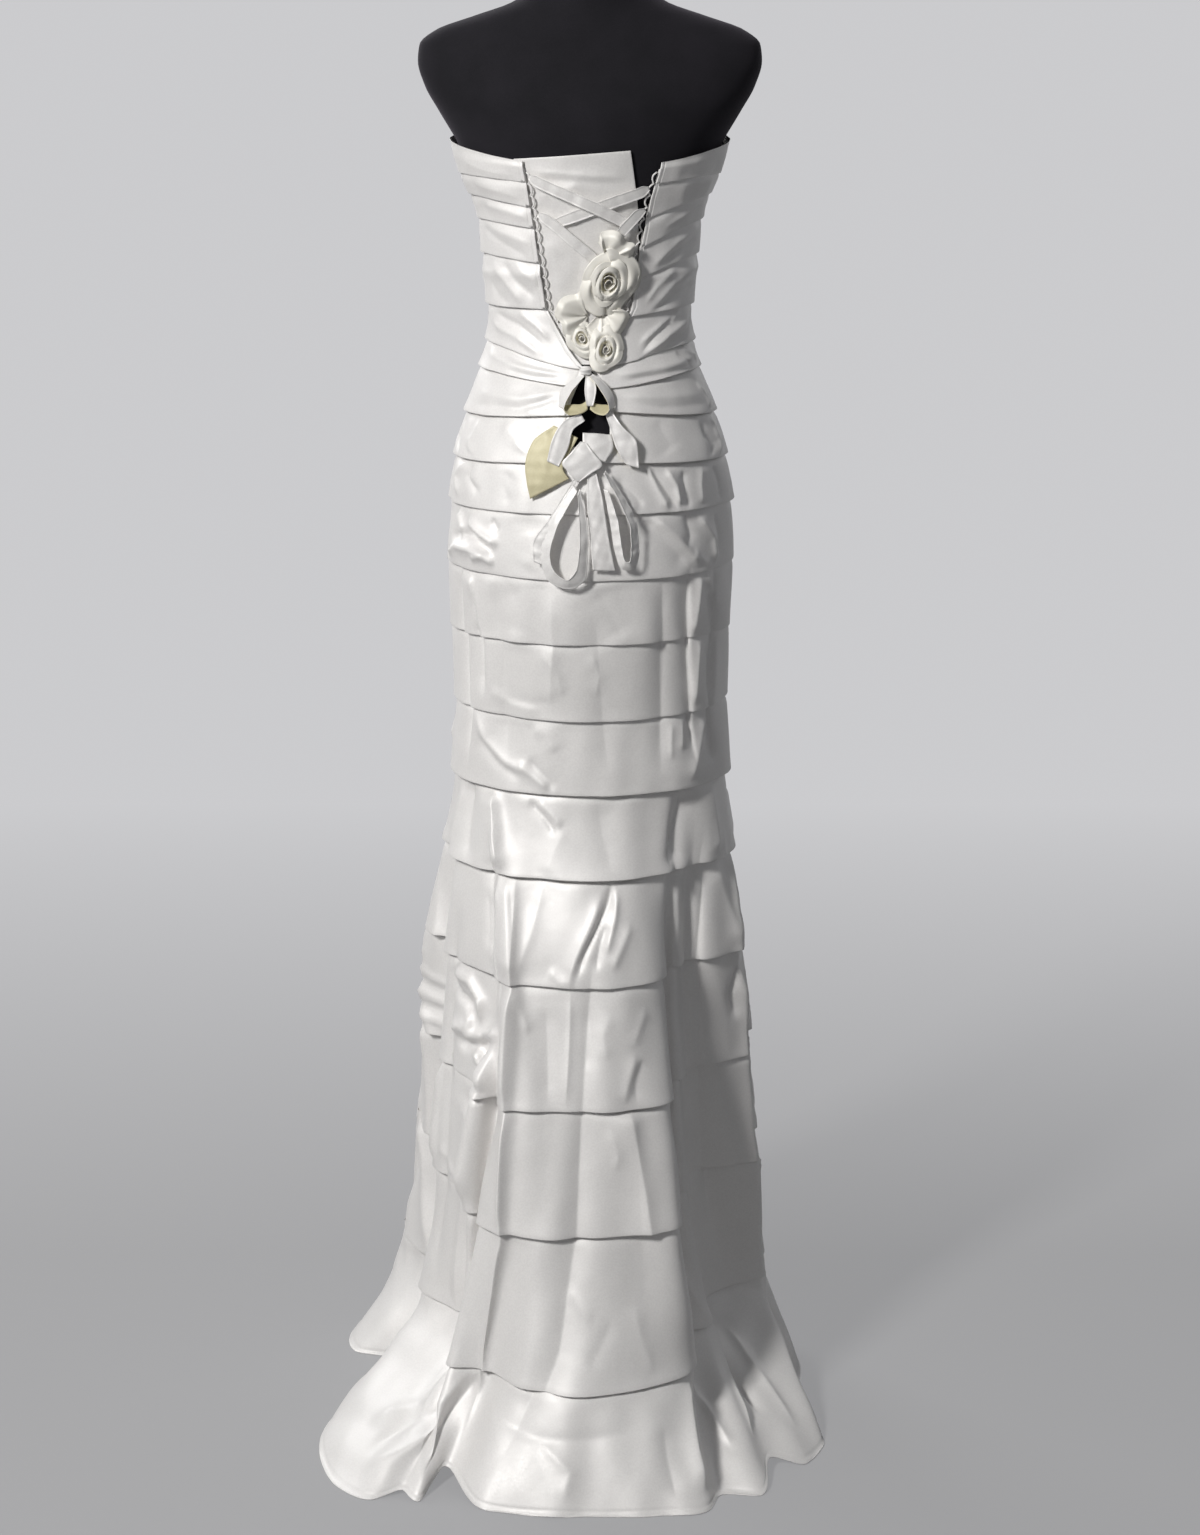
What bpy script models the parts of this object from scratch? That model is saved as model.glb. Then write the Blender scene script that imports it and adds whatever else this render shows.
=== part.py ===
"""Strapless trumpet gown of overlapping satin tiers, laced at the back, on a limbless dress form.

Metres, +Z up. The origin is on the floor, on the axis of the stand's pole. The gown's back faces -Y.
Angles go round the figure from the centre back, positive towards +X. A lift is a distance outwards
from the figure that the innermost cloth follows.
"""

import math

import bmesh
import bpy
import numpy as np
from mathutils import Vector

# --- driving dimensions ---------------------------------------------------------------------------

WALL = 0.0015                 # thickness of the satin walls
RIBBON_WALL = 0.0010
GAP = 0.0003                  # clearance kept where two pieces touch
OVERLAP = 0.014               # how far a tier reaches up under the tier above it
COLUMN_CHANGE = 0.0014        # extra room where two neighbours don't share their columns
TALL_EDGE = 0.055             # a tier taller than this at the laced opening gets one more ring
OPEN_COLUMNS = 22             # columns of a tier that stops at the laced opening
ROUND_COLUMNS = 28            # columns of a closed tier on the hips
FOLD_STRIP = 0.052            # widest strip between two columns of the folded skirt, at the shin

POLE_RADIUS = 0.0125
TORSO_BOTTOM = 0.800
BASE_RADIUS = 0.120
BASE_THICKNESS = 0.018
NECK_TOP = 1.640
CAP_THICKNESS = 0.012

# The figure inside the cloth: height, half width, depth at the back, depth at the front.
FIGURE = (
    (0.650, 0.1520, 0.120, 0.120),
    (0.737, 0.1480, 0.113, 0.112),
    (0.820, 0.1470, 0.114, 0.107),
    (0.900, 0.1500, 0.120, 0.107),
    (0.975, 0.1530, 0.123, 0.108),
    (1.040, 0.1500, 0.119, 0.106),
    (1.090, 0.1430, 0.112, 0.100),
    (1.140, 0.1290, 0.100, 0.092),
    (1.180, 0.1160, 0.088, 0.085),
    (1.205, 0.1080, 0.082, 0.082),
    (1.230, 0.1050, 0.079, 0.082),
    (1.250, 0.1065, 0.080, 0.085),
    (1.305, 0.1120, 0.088, 0.105),
    (1.345, 0.1170, 0.094, 0.118),
    (1.385, 0.1340, 0.100, 0.125),
    (1.420, 0.1460, 0.105, 0.130),
)

# The laced opening down the back and the slit under it: height, left edge x, right edge x.
BACK_EDGES = (
    (1.080, -0.0020, 0.0020),
    (1.098, -0.0025, 0.0025),
    (1.115, -0.0210, 0.0210),
    (1.155, -0.0210, 0.0210),
    (1.190, -0.0060, 0.0020),
    (1.206, -0.0200, 0.0180),
    (1.251, -0.0455, 0.0432),
    (1.310, -0.0540, 0.0510),
    (1.363, -0.0620, 0.0620),
    (1.400, -0.0690, 0.0740),
)

# Every tier from the top down: name, columns, hem height at the side, at the back left and at the
# back right, and how far the hem stands off the figure. The first row is the neckline.
TIERS = (
    ("neckline", "open", 1.422, 1.398, 1.395, 0.0000),
    ("bodice_tier_1", "open", 1.387, 1.378, 1.375, 0.0032),
    ("bodice_tier_2", "open", 1.366, 1.349, 1.331, 0.0040),
    ("bodice_tier_3", "open", 1.341, 1.330, 1.302, 0.0052),
    ("bodice_tier_4", "open", 1.305, 1.295, 1.272, 0.0038),
    ("bodice_tier_5", "open", 1.251, 1.251, 1.241, 0.0042),
    ("waist_tier_1", "open", 1.213, 1.190, 1.192, 0.0048),
    ("waist_tier_2", "open", 1.185, 1.173, 1.170, 0.0044),
    ("skirt_tier_1", "open", 1.137, 1.144, 1.148, 0.0050),
    ("skirt_tier_2", "open", 1.090, 1.096, 1.096, 0.0056),
    ("skirt_tier_3", "round", 1.040, 1.042, 1.042, 0.0040),
    ("skirt_tier_4", "round", 0.977, 0.972, 0.972, 0.0040),
    ("skirt_tier_5", "round", 0.904, 0.902, 0.902, 0.0036),
    ("skirt_tier_6", "round", 0.823, 0.817, 0.817, 0.0042),
    ("skirt_tier_7", "round", 0.739, 0.735, 0.735, 0.0062),
    ("skirt_tier_8", "folded", 0.648, 0.646, 0.646, 0.0090),
    ("skirt_tier_9", "folded", 0.541, 0.534, 0.534, 0.0064),
    ("skirt_tier_10", "folded", 0.416, 0.402, 0.402, 0.0056),
    ("skirt_tier_11", "folded", 0.288, 0.268, 0.268, 0.0050),
    ("skirt_tier_12", "folded", 0.140, 0.110, 0.110, 0.0056),
)
HEM_DIP = {"open": 7, "round": 2, "folded": 1}       # how closely a hem's back height keeps to the back
FLOOR_TIER = "skirt_tier_13"
FLOOR_TIER_MIDDLE = 0.052

# Fold lines of the trumpet skirt, going round from the centre back: name, angle at the knee, then
# x and y at the calf, shin, ankle and floor, and how far the hem is arched off the floor there.
FOLD_HEIGHTS = (0.000, 0.115, 0.275, 0.535)
KNEE = 0.737
THIGH = 0.800
FOLD_LINES = (
    ("back middle", -3, (-0.007, -0.171), (-0.010, -0.226), (-0.010, -0.281), (0.005, -0.350), 0.0),
    ("centre flute right face", 17, (0.043, -0.160), (0.052, -0.209), (0.062, -0.260), (0.080, -0.346), 0.0),
    ("centre flute right edge", 33, (0.078, -0.130), (0.092, -0.198), (0.110, -0.222), (0.122, -0.340), 0.0),
    ("valley right", 38, (0.080, -0.105), (0.080, -0.115), (0.098, -0.140), (0.142, -0.303), 0.0),
    ("inner fold right", 43, (0.091, -0.098), (0.104, -0.105), (0.131, -0.122), (0.185, -0.304), 0.0),
    ("gully right", 49, (0.101, -0.078), (0.103, -0.066), (0.127, -0.062), (0.206, -0.268), 0.012),
    ("right flute face", 60, (0.125, -0.077), (0.135, -0.045), (0.155, -0.030), (0.240, -0.235), 0.0),
    ("right flute edge", 80, (0.163, -0.030), (0.186, -0.022), (0.200, -0.010), (0.260, -0.190), 0.0),
    ("side valley right", 97, (0.155, 0.018), (0.168, 0.020), (0.180, 0.015), (0.228, -0.125), 0.0),
    ("side fold right back", 108, (0.160, 0.045), (0.180, 0.045), (0.195, 0.040), (0.238, -0.075), 0.0),
    ("side fold right front", 122, (0.148, 0.078), (0.172, 0.090), (0.195, 0.090), (0.242, 0.030), 0.0),
    ("front valley right", 140, (0.105, 0.088), (0.118, 0.105), (0.135, 0.115), (0.165, 0.120), 0.006),
    ("front flute right", 157, (0.062, 0.128), (0.072, 0.155), (0.080, 0.175), (0.100, 0.215), 0.0),
    ("front valley middle", 178, (0.003, 0.118), (0.003, 0.132), (0.003, 0.145), (0.000, 0.165), 0.005),
    ("front flute left", 202, (-0.062, 0.132), (-0.072, 0.160), (-0.082, 0.182), (-0.105, 0.222), 0.0),
    ("front valley left", 225, (-0.110, 0.098), (-0.125, 0.120), (-0.140, 0.132), (-0.165, 0.145), 0.006),
    ("side fold left front", 246, (-0.168, 0.072), (-0.205, 0.110), (-0.225, 0.112), (-0.280, 0.100), 0.0),
    ("side fold left back", 258, (-0.180, 0.022), (-0.192, 0.056), (-0.204, 0.054), (-0.283, 0.032), 0.0),
    ("side valley left", 272, (-0.148, -0.012), (-0.155, 0.010), (-0.165, 0.010), (-0.228, 0.010), 0.0),
    ("left flute edge", 289, (-0.158, -0.055), (-0.176, -0.045), (-0.195, -0.038), (-0.298, -0.150), 0.0),
    ("left flute face", 306, (-0.118, -0.107), (-0.141, -0.097), (-0.150, -0.086), (-0.297, -0.235), 0.0),
    ("gully left", 312, (-0.108, -0.118), (-0.119, -0.120), (-0.124, -0.108), (-0.272, -0.290), 0.0),
    ("bright fold left", 317, (-0.100, -0.128), (-0.134, -0.160), (-0.138, -0.160), (-0.240, -0.313), 0.0),
    ("valley left", 321, (-0.090, -0.138), (-0.114, -0.168), (-0.124, -0.180), (-0.207, -0.305), 0.004),
    ("centre flute left edge", 326, (-0.084, -0.148), (-0.118, -0.190), (-0.152, -0.216), (-0.186, -0.316), 0.0),
    ("crease left", 331, (-0.078, -0.152), (-0.090, -0.211), (-0.113, -0.218), (-0.168, -0.284), 0.018),
    ("centre flute left face", 344, (-0.045, -0.160), (-0.052, -0.226), (-0.070, -0.271), (-0.112, -0.334), 0.0),
)

# The form above the gown: height, half width, depth at the back, depth at the front.
SHOULDERS = (
    (1.450, 0.1590, 0.098, 0.112),
    (1.475, 0.1730, 0.088, 0.098),
    (1.500, 0.1800, 0.076, 0.082),
    (1.517, 0.1780, 0.068, 0.071),
    (1.532, 0.1600, 0.062, 0.063),
    (1.546, 0.1200, 0.058, 0.058),
    (1.560, 0.0800, 0.055, 0.055),
    (1.576, 0.0600, 0.054, 0.054),
    (NECK_TOP, 0.0560, 0.053, 0.053),
)
FORM_COLUMNS = 32
# How far the form's skin lies inside the figure: height, inset. It is closest at the waist.
FORM_INSET = (
    (TORSO_BOTTOM, 0.0050),
    (1.090, 0.0050),
    (1.145, 0.0018),
    (1.180, 0.0018),
    (1.200, 0.0052),
    (1.420, 0.0052),
)

# The panel behind the lacing: height, left edge x, right edge x.
PANEL_ROWS = (
    (1.208, -0.028, 0.028),
    (1.232, -0.044, 0.042),
    (1.268, -0.056, 0.050),
    (1.310, -0.062, 0.051),
    (1.350, -0.069, 0.050),
    (1.385, -0.075, 0.046),
    (1.412, -0.079, 0.042),
)
PANEL_COLUMNS = 5
PANEL_LIFT = -0.0030

# Lacing ribbons: name, start x and height, end x and height, lift.
LACING_WIDTH = 0.012
LACING_STATIONS = 6
LACING = (
    ("lacing_ribbon_1", (0.0530, 1.3720), (-0.0390, 1.3380), -0.0010),
    ("lacing_ribbon_2", (-0.0560, 1.3840), (0.0430, 1.3380), 0.0008),
    ("lacing_ribbon_3", (-0.0470, 1.3460), (0.0100, 1.3000), 0.0008),
    ("lacing_ribbon_4", (0.0450, 1.3480), (0.0240, 1.3220), 0.0026),
)

LOOP_COUNT = 10
LOOP_REACH = 0.0042
LOOP_CLEAR = 0.0011           # the loops' roots keep this far off the tiers' cut edges
LOOP_RADIUS = 0.0011
LOOP_SIDES = 4
LOOP_TOP = 1.391
LOOP_BOTTOM = 1.236

# Roses of wound ribbon: name, x, height, lift of the base, radius, depth, turns.
ROSES = (
    ("rose_large", 0.0180, 1.2840, 0.0016, 0.0255, 0.018, 2.4),
    ("rose_small_left", -0.0110, 1.2220, -0.0012, 0.0125, 0.012, 1.9),
    ("rose_small_right", 0.0165, 1.2080, 0.0056, 0.0135, 0.013, 1.9),
)
ROSE_STATIONS_A_TURN = 9
# Petals beside the large rose: name, x, height, lift, length, width, direction of the tip in degrees.
PETALS = (
    ("rose_petal_upper", 0.0260, 1.3200, 0.0032, 0.024, 0.026, 35),
    ("rose_petal_left", -0.0080, 1.2560, -0.0022, 0.026, 0.026, 200),
    ("rose_petal_lower", 0.0160, 1.2560, -0.0023, 0.024, 0.030, 270),
)

# Bow ribbons: name, width, and stations of x, height, lift and turn. A turn of 0 lies flat on the
# skirt and 90 stands on edge.
BOW = (
    ("bow_bridge", 0.0080, ((-0.0040, 1.1800, 0.0094, 0), (-0.0030, 1.1660, 0.0120, 0),
                            (-0.0010, 1.1510, 0.0115, 0))),
    ("bow_loop_left", 0.0120, ((-0.0150, 1.1800, 0.0106, 50), (-0.0230, 1.1730, 0.0112, 60),
                               (-0.0300, 1.1600, 0.0115, 65), (-0.0270, 1.1470, 0.0115, 65),
                               (-0.0170, 1.1410, 0.0108, 60), (-0.0085, 1.1450, 0.0098, 50))),
    ("bow_loop_right", 0.0120, ((0.0085, 1.1800, 0.0108, -50), (0.0160, 1.1730, 0.0115, -60),
                                (0.0230, 1.1600, 0.0118, -65), (0.0235, 1.1470, 0.0118, -65),
                                (0.0160, 1.1410, 0.0110, -60), (0.0065, 1.1450, 0.0100, -50))),
    ("bow_fold_left", 0.0140, ((-0.0190, 1.1290, 0.0086, 10), (-0.0310, 1.1230, 0.0097, 10),
                               (-0.0390, 1.1110, 0.0093, 5), (-0.0350, 1.0980, 0.0089, 0))),
    ("bow_tail_right", 0.0200, ((0.0240, 1.1260, 0.0054, 0), (0.0330, 1.1180, 0.0060, 0),
                                (0.0440, 1.1050, 0.0062, 0))),
    ("bow_tail_cream", 0.0260, ((-0.0270, 1.1080, 0.0066, 0), (-0.0400, 1.0980, 0.0076, 0),
                                (-0.0510, 1.0820, 0.0070, 0), (-0.0560, 1.0640, 0.0060, 0))),
    ("bow_wrap", 0.0200, ((-0.0100, 1.1200, 0.0100, 0), (0.0030, 1.1130, 0.0094, 0),
                          (0.0170, 1.1010, 0.0072, 0))),
    ("bow_drop", 0.0180, ((-0.0105, 1.1080, 0.0080, 0), (-0.0125, 1.0940, 0.0082, 0),
                          (-0.0140, 1.0790, 0.0078, 0))),
    ("hanging_loop_outer", 0.0090, ((-0.0190, 1.0710, 0.0052, 0), (-0.0390, 1.0360, 0.0064, 0),
                                    (-0.0560, 1.0010, 0.0050, 0), (-0.0540, 0.9860, 0.0056, 0))),
    ("hanging_loop_left", 0.0090, ((-0.0160, 1.0700, 0.0086, 20), (-0.0350, 1.0260, 0.0086, 40),
                                   (-0.0490, 0.9920, 0.0087, 40), (-0.0460, 0.9740, 0.0089, 40),
                                   (-0.0310, 0.9640, 0.0089, 40), (-0.0150, 0.9750, 0.0087, 40),
                                   (-0.0090, 1.0010, 0.0086, 40), (-0.0075, 1.0400, 0.0088, 40),
                                   (-0.0070, 1.0660, 0.0084, 30))),
    ("hanging_strip", 0.0200, ((0.0045, 1.0740, 0.0058, 0), (0.0105, 1.0300, 0.0064, 0),
                               (0.0175, 0.9840, 0.0056, 0))),
    ("hanging_loop_right", 0.0090, ((0.0160, 1.0760, 0.0090, 20), (0.0330, 1.0450, 0.0106, 40),
                                    (0.0450, 1.0140, 0.0106, 40), (0.0440, 0.9900, 0.0108, 40),
                                    (0.0370, 0.9820, 0.0110, 40), (0.0300, 0.9900, 0.0108, 40),
                                    (0.0220, 1.0200, 0.0106, 40), (0.0140, 1.0550, 0.0104, 30))),
)
KNOT_PLACE = (-0.0040, 1.1860, 0.0100)
KNOT_SIZE = (0.011, 0.010, 0.010)

MATERIALS = {
    "satin": ((0.86, 0.85, 0.83), 0.34, 0.0),
    "satin_cream": ((0.80, 0.76, 0.60), 0.38, 0.0),
    "form_fabric": ((0.012, 0.012, 0.014), 0.90, 0.0),
    "painted_metal": ((0.030, 0.030, 0.032), 0.35, 0.6),
}


# --- curves and outlines --------------------------------------------------------------------------

def smooth_row(keys, rows, key):
    """A table's row at a key between its own: a monotone cubic through every row."""
    keys = np.asarray(keys, float)
    rows = np.asarray(rows, float)
    shape = (-1,) + (1,) * (rows.ndim - 1)
    step = np.diff(keys).reshape(shape)
    slope = np.diff(rows, axis=0) / step
    tangent = np.zeros_like(rows)
    tangent[0], tangent[-1] = slope[0], slope[-1]
    before, after = slope[:-1], slope[1:]
    weight_before = 2 * step[1:] + step[:-1]
    weight_after = step[1:] + 2 * step[:-1]
    rising = before * after > 0
    safe_before = np.where(rising, before, 1.0)
    safe_after = np.where(rising, after, 1.0)
    mean = (weight_before + weight_after) / (weight_before / safe_before + weight_after / safe_after)
    tangent[1:-1] = np.where(rising, mean, 0.0)
    k = int(np.clip(np.searchsorted(keys, key) - 1, 0, len(keys) - 2))
    width = keys[k + 1] - keys[k]
    t = min(max((key - keys[k]) / width, 0.0), 1.0)
    return (rows[k] * (1 + 2 * t) * (1 - t) ** 2 + tangent[k] * width * t * (1 - t) ** 2
            + rows[k + 1] * t * t * (3 - 2 * t) + tangent[k + 1] * width * t * t * (t - 1))


def table(rows, key):
    """Row of a table whose first column is its key."""
    rows = np.asarray(rows, float)
    return smooth_row(rows[:, 0], rows[:, 1:], key)


def unit(vectors):
    return vectors / np.linalg.norm(vectors, axis=-1, keepdims=True)


def figure_outline(angles, height, rows=FIGURE):
    """Points and outward normals of the figure at a height, one for each angle."""
    half_width, back, front = table(rows, height)
    across, along = np.sin(angles), np.cos(angles)
    depth = np.where(along > 0, back, front)
    points = np.stack([half_width * across, -depth * along], -1)
    normals = np.stack([depth * across, -half_width * along], -1)
    return points, unit(normals)


# The pairs of knots between which a centripetal Catmull-Rom curve blends, from four points down to one.
BLENDS = (((0, 1), (1, 2), (2, 3)), ((0, 2), (1, 3)), ((1, 2),))


def between(points, index, share):
    """A point of the smooth closed curve through the points, a share of the way after points[index]."""
    corners = [points[(index + k) % len(points)] for k in (-1, 0, 1, 2)]
    knots = [0.0]
    for first, second in zip(corners, corners[1:]):
        knots.append(knots[-1] + math.sqrt(np.linalg.norm(second - first)))
    t = knots[1] + share * (knots[2] - knots[1])
    for spans in BLENDS:
        corners = [((knots[high] - t) * first + (t - knots[low]) * second) / (knots[high] - knots[low])
                   for first, second, (low, high) in zip(corners, corners[1:], spans)]
    return corners[0]


def fold_columns():
    """Each column of the folded skirt: its fold line and its share of the way to the next one."""
    shin = np.array([row[3] for row in FOLD_LINES])
    columns = []
    for index, point in enumerate(shin):
        strips = math.ceil(np.linalg.norm(shin[(index + 1) % len(shin)] - point) / FOLD_STRIP)
        columns += [(index, strip / strips) for strip in range(strips)]
    return columns


FOLD_COLUMNS = fold_columns()
KNEE_ANGLES = np.radians([row[1] for row in FOLD_LINES])
FOLD_TABLE = np.array([[row[5], row[4], row[3], row[2]] for row in FOLD_LINES]).transpose(1, 0, 2)


def folded_outline(height):
    """Points and outward normals of the trumpet skirt at a height, one for each of its columns."""
    if height >= KNEE:
        lines = figure_outline(KNEE_ANGLES, height)[0]
    else:
        knee = figure_outline(KNEE_ANGLES, KNEE)[0]
        thigh = figure_outline(KNEE_ANGLES, THIGH)[0]
        lines = smooth_row(FOLD_HEIGHTS + (KNEE, THIGH), np.concatenate([FOLD_TABLE, [knee, thigh]]), height)
    points = np.array([between(lines, index, share) for index, share in FOLD_COLUMNS])
    tangents = unit(np.roll(points, -1, 0) - points) + unit(points - np.roll(points, 1, 0))
    return points, unit(np.stack([tangents[:, 1], -tangents[:, 0]], -1))


def back_edges(height):
    """The left and right x of the laced opening at a height, straight between the table's rows."""
    heights, left, right = zip(*BACK_EDGES)
    return np.interp(height, heights, left), np.interp(height, heights, right)


def column_angles(columns, height):
    """Angle of each column of a kind at a height."""
    if columns == "open":
        half_width = table(FIGURE, height)[0]
        left, right = (math.asin(x / half_width) for x in back_edges(height))
        return np.linspace(right, 2 * math.pi + left, OPEN_COLUMNS)
    if columns == "round":
        return np.linspace(0, 2 * math.pi, ROUND_COLUMNS, endpoint=False)
    nearest = [KNEE_ANGLES[index] for index, _ in FOLD_COLUMNS]
    following = [KNEE_ANGLES[(index + 1) % len(FOLD_LINES)] for index, _ in FOLD_COLUMNS]
    share = np.array([share for _, share in FOLD_COLUMNS])
    turn = (np.array(following) - np.array(nearest)) % (2 * math.pi)
    return np.array(nearest) + share * turn


def outline(columns, height):
    if columns == "folded":
        return folded_outline(height)
    return figure_outline(column_angles(columns, height), height)


def hem_heights(tier, columns):
    """Height of a tier's hem at each column of a kind."""
    _, own_columns, side, back_left, back_right, _ = tier
    angles = column_angles(columns, side)
    back = np.where(np.sin(angles) > 0, back_right, back_left)
    return side + (back - side) * ((1 + np.cos(angles)) / 2) ** HEM_DIP[own_columns]


def ring(columns, heights, lift):
    """Points of one ring of cloth, each at its own height."""
    points = []
    for index, height in enumerate(heights):
        place, normal = outline(columns, height)
        flat = place[index] + lift * normal[index]
        points.append((flat[0], flat[1], height))
    return points


def on_figure(x, height, lift):
    """The point of the figure's back at an x and a height, moved out, and the surface normal there."""
    angle = np.array([math.asin(x / table(FIGURE, height)[0])])
    step = 0.002
    (place, normal), (above, _) = figure_outline(angle, height), figure_outline(angle, height + step)
    upward = Vector((*(above[0] - place[0]), step))
    outward = Vector((-normal[0][1], normal[0][0], 0.0)).cross(upward).normalized()
    return Vector((*place[0], height)) + outward * lift, outward


# --- objects --------------------------------------------------------------------------------------

def clear_scene():
    for item in list(bpy.data.objects):
        bpy.data.objects.remove(item)


def material(slot, name):
    colour, roughness, metallic = MATERIALS[slot]
    made = bpy.data.materials.new(f"{slot}_{name}")
    made.use_nodes = True
    shader = made.node_tree.nodes["Principled BSDF"]
    shader.inputs["Base Color"].default_value = (*colour, 1.0)
    shader.inputs["Roughness"].default_value = roughness
    shader.inputs["Metallic"].default_value = metallic
    return made


def add_object(name, mesh_maker, slot):
    """An object from a bmesh, smooth shaded with sharp edges kept."""
    bmesh.ops.recalc_face_normals(mesh_maker, faces=mesh_maker.faces)
    mesh = bpy.data.meshes.new(name)
    mesh_maker.to_mesh(mesh)
    mesh_maker.free()
    mesh.shade_smooth()
    mesh.set_sharp_from_angle(angle=math.radians(40))
    mesh.materials.append(material(slot, name))
    made = bpy.data.objects.new(name, mesh)
    bpy.context.collection.objects.link(made)
    return made


def add_wall(name, inner, outer, closed, slot="satin"):
    """A wall between two grids of points, rows running down and columns running round."""
    maker = bmesh.new()
    rows, columns = len(inner), len(inner[0])
    skins = [[[maker.verts.new(point) for point in row] for row in grid] for grid in (inner, outer)]
    strips = [(c, (c + 1) % columns) for c in range(columns if closed else columns - 1)]
    for c, after in strips:
        for skin in skins:
            for above, below in zip(skin, skin[1:]):
                maker.faces.new((above[c], below[c], below[after], above[after]))
        for r in (0, rows - 1):
            maker.faces.new((skins[0][r][c], skins[0][r][after], skins[1][r][after], skins[1][r][c]))
    if not closed:
        for c in (0, columns - 1):
            for r in range(rows - 1):
                maker.faces.new((skins[0][r][c], skins[1][r][c], skins[1][r + 1][c], skins[0][r + 1][c]))
    return add_object(name, maker, slot)


def add_loft(name, rings, slot):
    """A solid through rings of points, closed by a flat face at each end."""
    maker = bmesh.new()
    layers = [[maker.verts.new(point) for point in points] for points in rings]
    for lower, upper in zip(layers, layers[1:]):
        for index in range(len(lower)):
            after = (index + 1) % len(lower)
            maker.faces.new((lower[index], lower[after], upper[after], upper[index]))
    maker.faces.new(layers[0][::-1])
    maker.faces.new(layers[-1])
    return add_object(name, maker, slot)


# --- the gown's tiers -----------------------------------------------------------------------------

def add_tier(above, tier, below):
    """One tier: its top is tucked under the tier above, its hem stands off the tier below."""
    name, columns, _, _, _, stand_off = tier
    top = hem_heights(above, columns)
    seam_lift = WALL + GAP
    if below is not None and below[1] != columns:
        seam_lift += COLUMN_CHANGE
    hem = hem_heights(tier, columns)
    stations = [(top + (OVERLAP if above[0] != "neckline" else 0.0), 0.0)]
    tall_edge = columns == "open" and max(top[0] - hem[0], top[-1] - hem[-1]) > TALL_EDGE
    if tall_edge or (columns == "folded" and above[1] == columns):
        stations.append((top, 0.0))
    stations += [(hem + OVERLAP, seam_lift), (hem, stand_off)]
    inner = [ring(columns, heights, lift) for heights, lift in stations]
    outer = [ring(columns, heights, lift + WALL) for heights, lift in stations]
    add_wall(name, inner, outer, closed=columns != "open")


def add_floor_tier(above):
    """The last tier, whose hem spreads on the floor as a short train."""
    top = hem_heights(above, "folded")
    rises = np.array([row[6] for row in FOLD_LINES])
    following = np.roll(rises, -1)
    floor = np.array([rises[index] + share * (following[index] - rises[index]) for index, share in FOLD_COLUMNS])
    middle = FLOOR_TIER_MIDDLE + floor
    stations = (top + OVERLAP, top, middle, floor)
    inner = [ring("folded", heights, 0.0) for heights in stations]
    outer = [ring("folded", heights, WALL) for heights in stations]
    add_wall(FLOOR_TIER, inner, outer, closed=True)


def add_tiers():
    for above, tier, below in zip(TIERS, TIERS[1:], TIERS[2:] + (None,)):
        add_tier(above, tier, below)
    add_floor_tier(TIERS[-1])


# --- what closes and trims the back ---------------------------------------------------------------

def add_panel():
    grids = []
    for lift in (PANEL_LIFT, PANEL_LIFT + RIBBON_WALL):
        grid = []
        for height, left, right in PANEL_ROWS[::-1]:
            across = np.linspace(left, right, PANEL_COLUMNS)
            grid.append([on_figure(x, height, lift)[0] for x in across])
        grids.append(grid)
    add_wall("modesty_panel", *grids, closed=False)


def add_ribbon(name, width, stations, slot="satin"):
    """A flat ribbon through stations of x, height, lift and turn about its own length."""
    centres, normals = zip(*[on_figure(x, height, lift) for x, height, lift, _ in stations])
    inner, outer = [], []
    for index, (centre, normal) in enumerate(zip(centres, normals)):
        before = centres[max(index - 1, 0)]
        after = centres[min(index + 1, len(centres) - 1)]
        along = (after - before).normalized()
        side = along.cross(normal).normalized()
        face = side.cross(along).normalized()
        turn = math.radians(stations[index][3])
        across = side * math.cos(turn) + face * math.sin(turn)
        out = face * math.cos(turn) - side * math.sin(turn)
        half = across * (width / 2)
        inner.append([centre - half, centre + half])
        outer.append([centre - half + out * RIBBON_WALL, centre + half + out * RIBBON_WALL])
    add_wall(name, inner, outer, closed=False, slot=slot)


def add_lacing():
    for name, start, end, lift in LACING:
        stations = []
        for share in np.linspace(0, 1, LACING_STATIONS):
            x = start[0] + share * (end[0] - start[0])
            height = start[1] + share * (end[1] - start[1])
            stations.append((x, height, lift, 0))
        add_ribbon(name, LACING_WIDTH, stations)


def add_tube(name, points, radius, sides, slot="satin"):
    """A round cord through points on the back of the figure."""
    rings = []
    for index, centre in enumerate(points):
        along = (points[min(index + 1, len(points) - 1)] - points[max(index - 1, 0)]).normalized()
        first = along.orthogonal().normalized() if not rings else (first - along * first.dot(along)).normalized()
        second = along.cross(first)
        rings.append([centre + (first * math.cos(a) + second * math.sin(a)) * radius
                      for a in np.linspace(0, 2 * math.pi, sides, endpoint=False)])
    add_loft(name, rings, slot)


def add_lace_loops():
    """One scalloped rouleau cord down each edge of the opening, a scallop for each pass of the lacing."""
    steps = 4 * LOOP_COUNT
    for name, column, side in (("lace_loops_left", 0, 1), ("lace_loops_right", 1, -1)):
        points = []
        for step in range(steps + 1):
            height = LOOP_TOP + (LOOP_BOTTOM - LOOP_TOP) * step / steps
            bulge = (1 - math.cos(2 * math.pi * step / 4)) / 2
            reach = LOOP_RADIUS + LOOP_CLEAR + LOOP_REACH * bulge
            edge = back_edges(height)[column]
            slope = (back_edges(height + 0.001)[column] - edge) / 0.001
            across = side * reach / math.hypot(1.0, slope)
            points.append(on_figure(edge + across, height - slope * across, WALL)[0])
        add_tube(name, points, LOOP_RADIUS, LOOP_SIDES)


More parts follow.
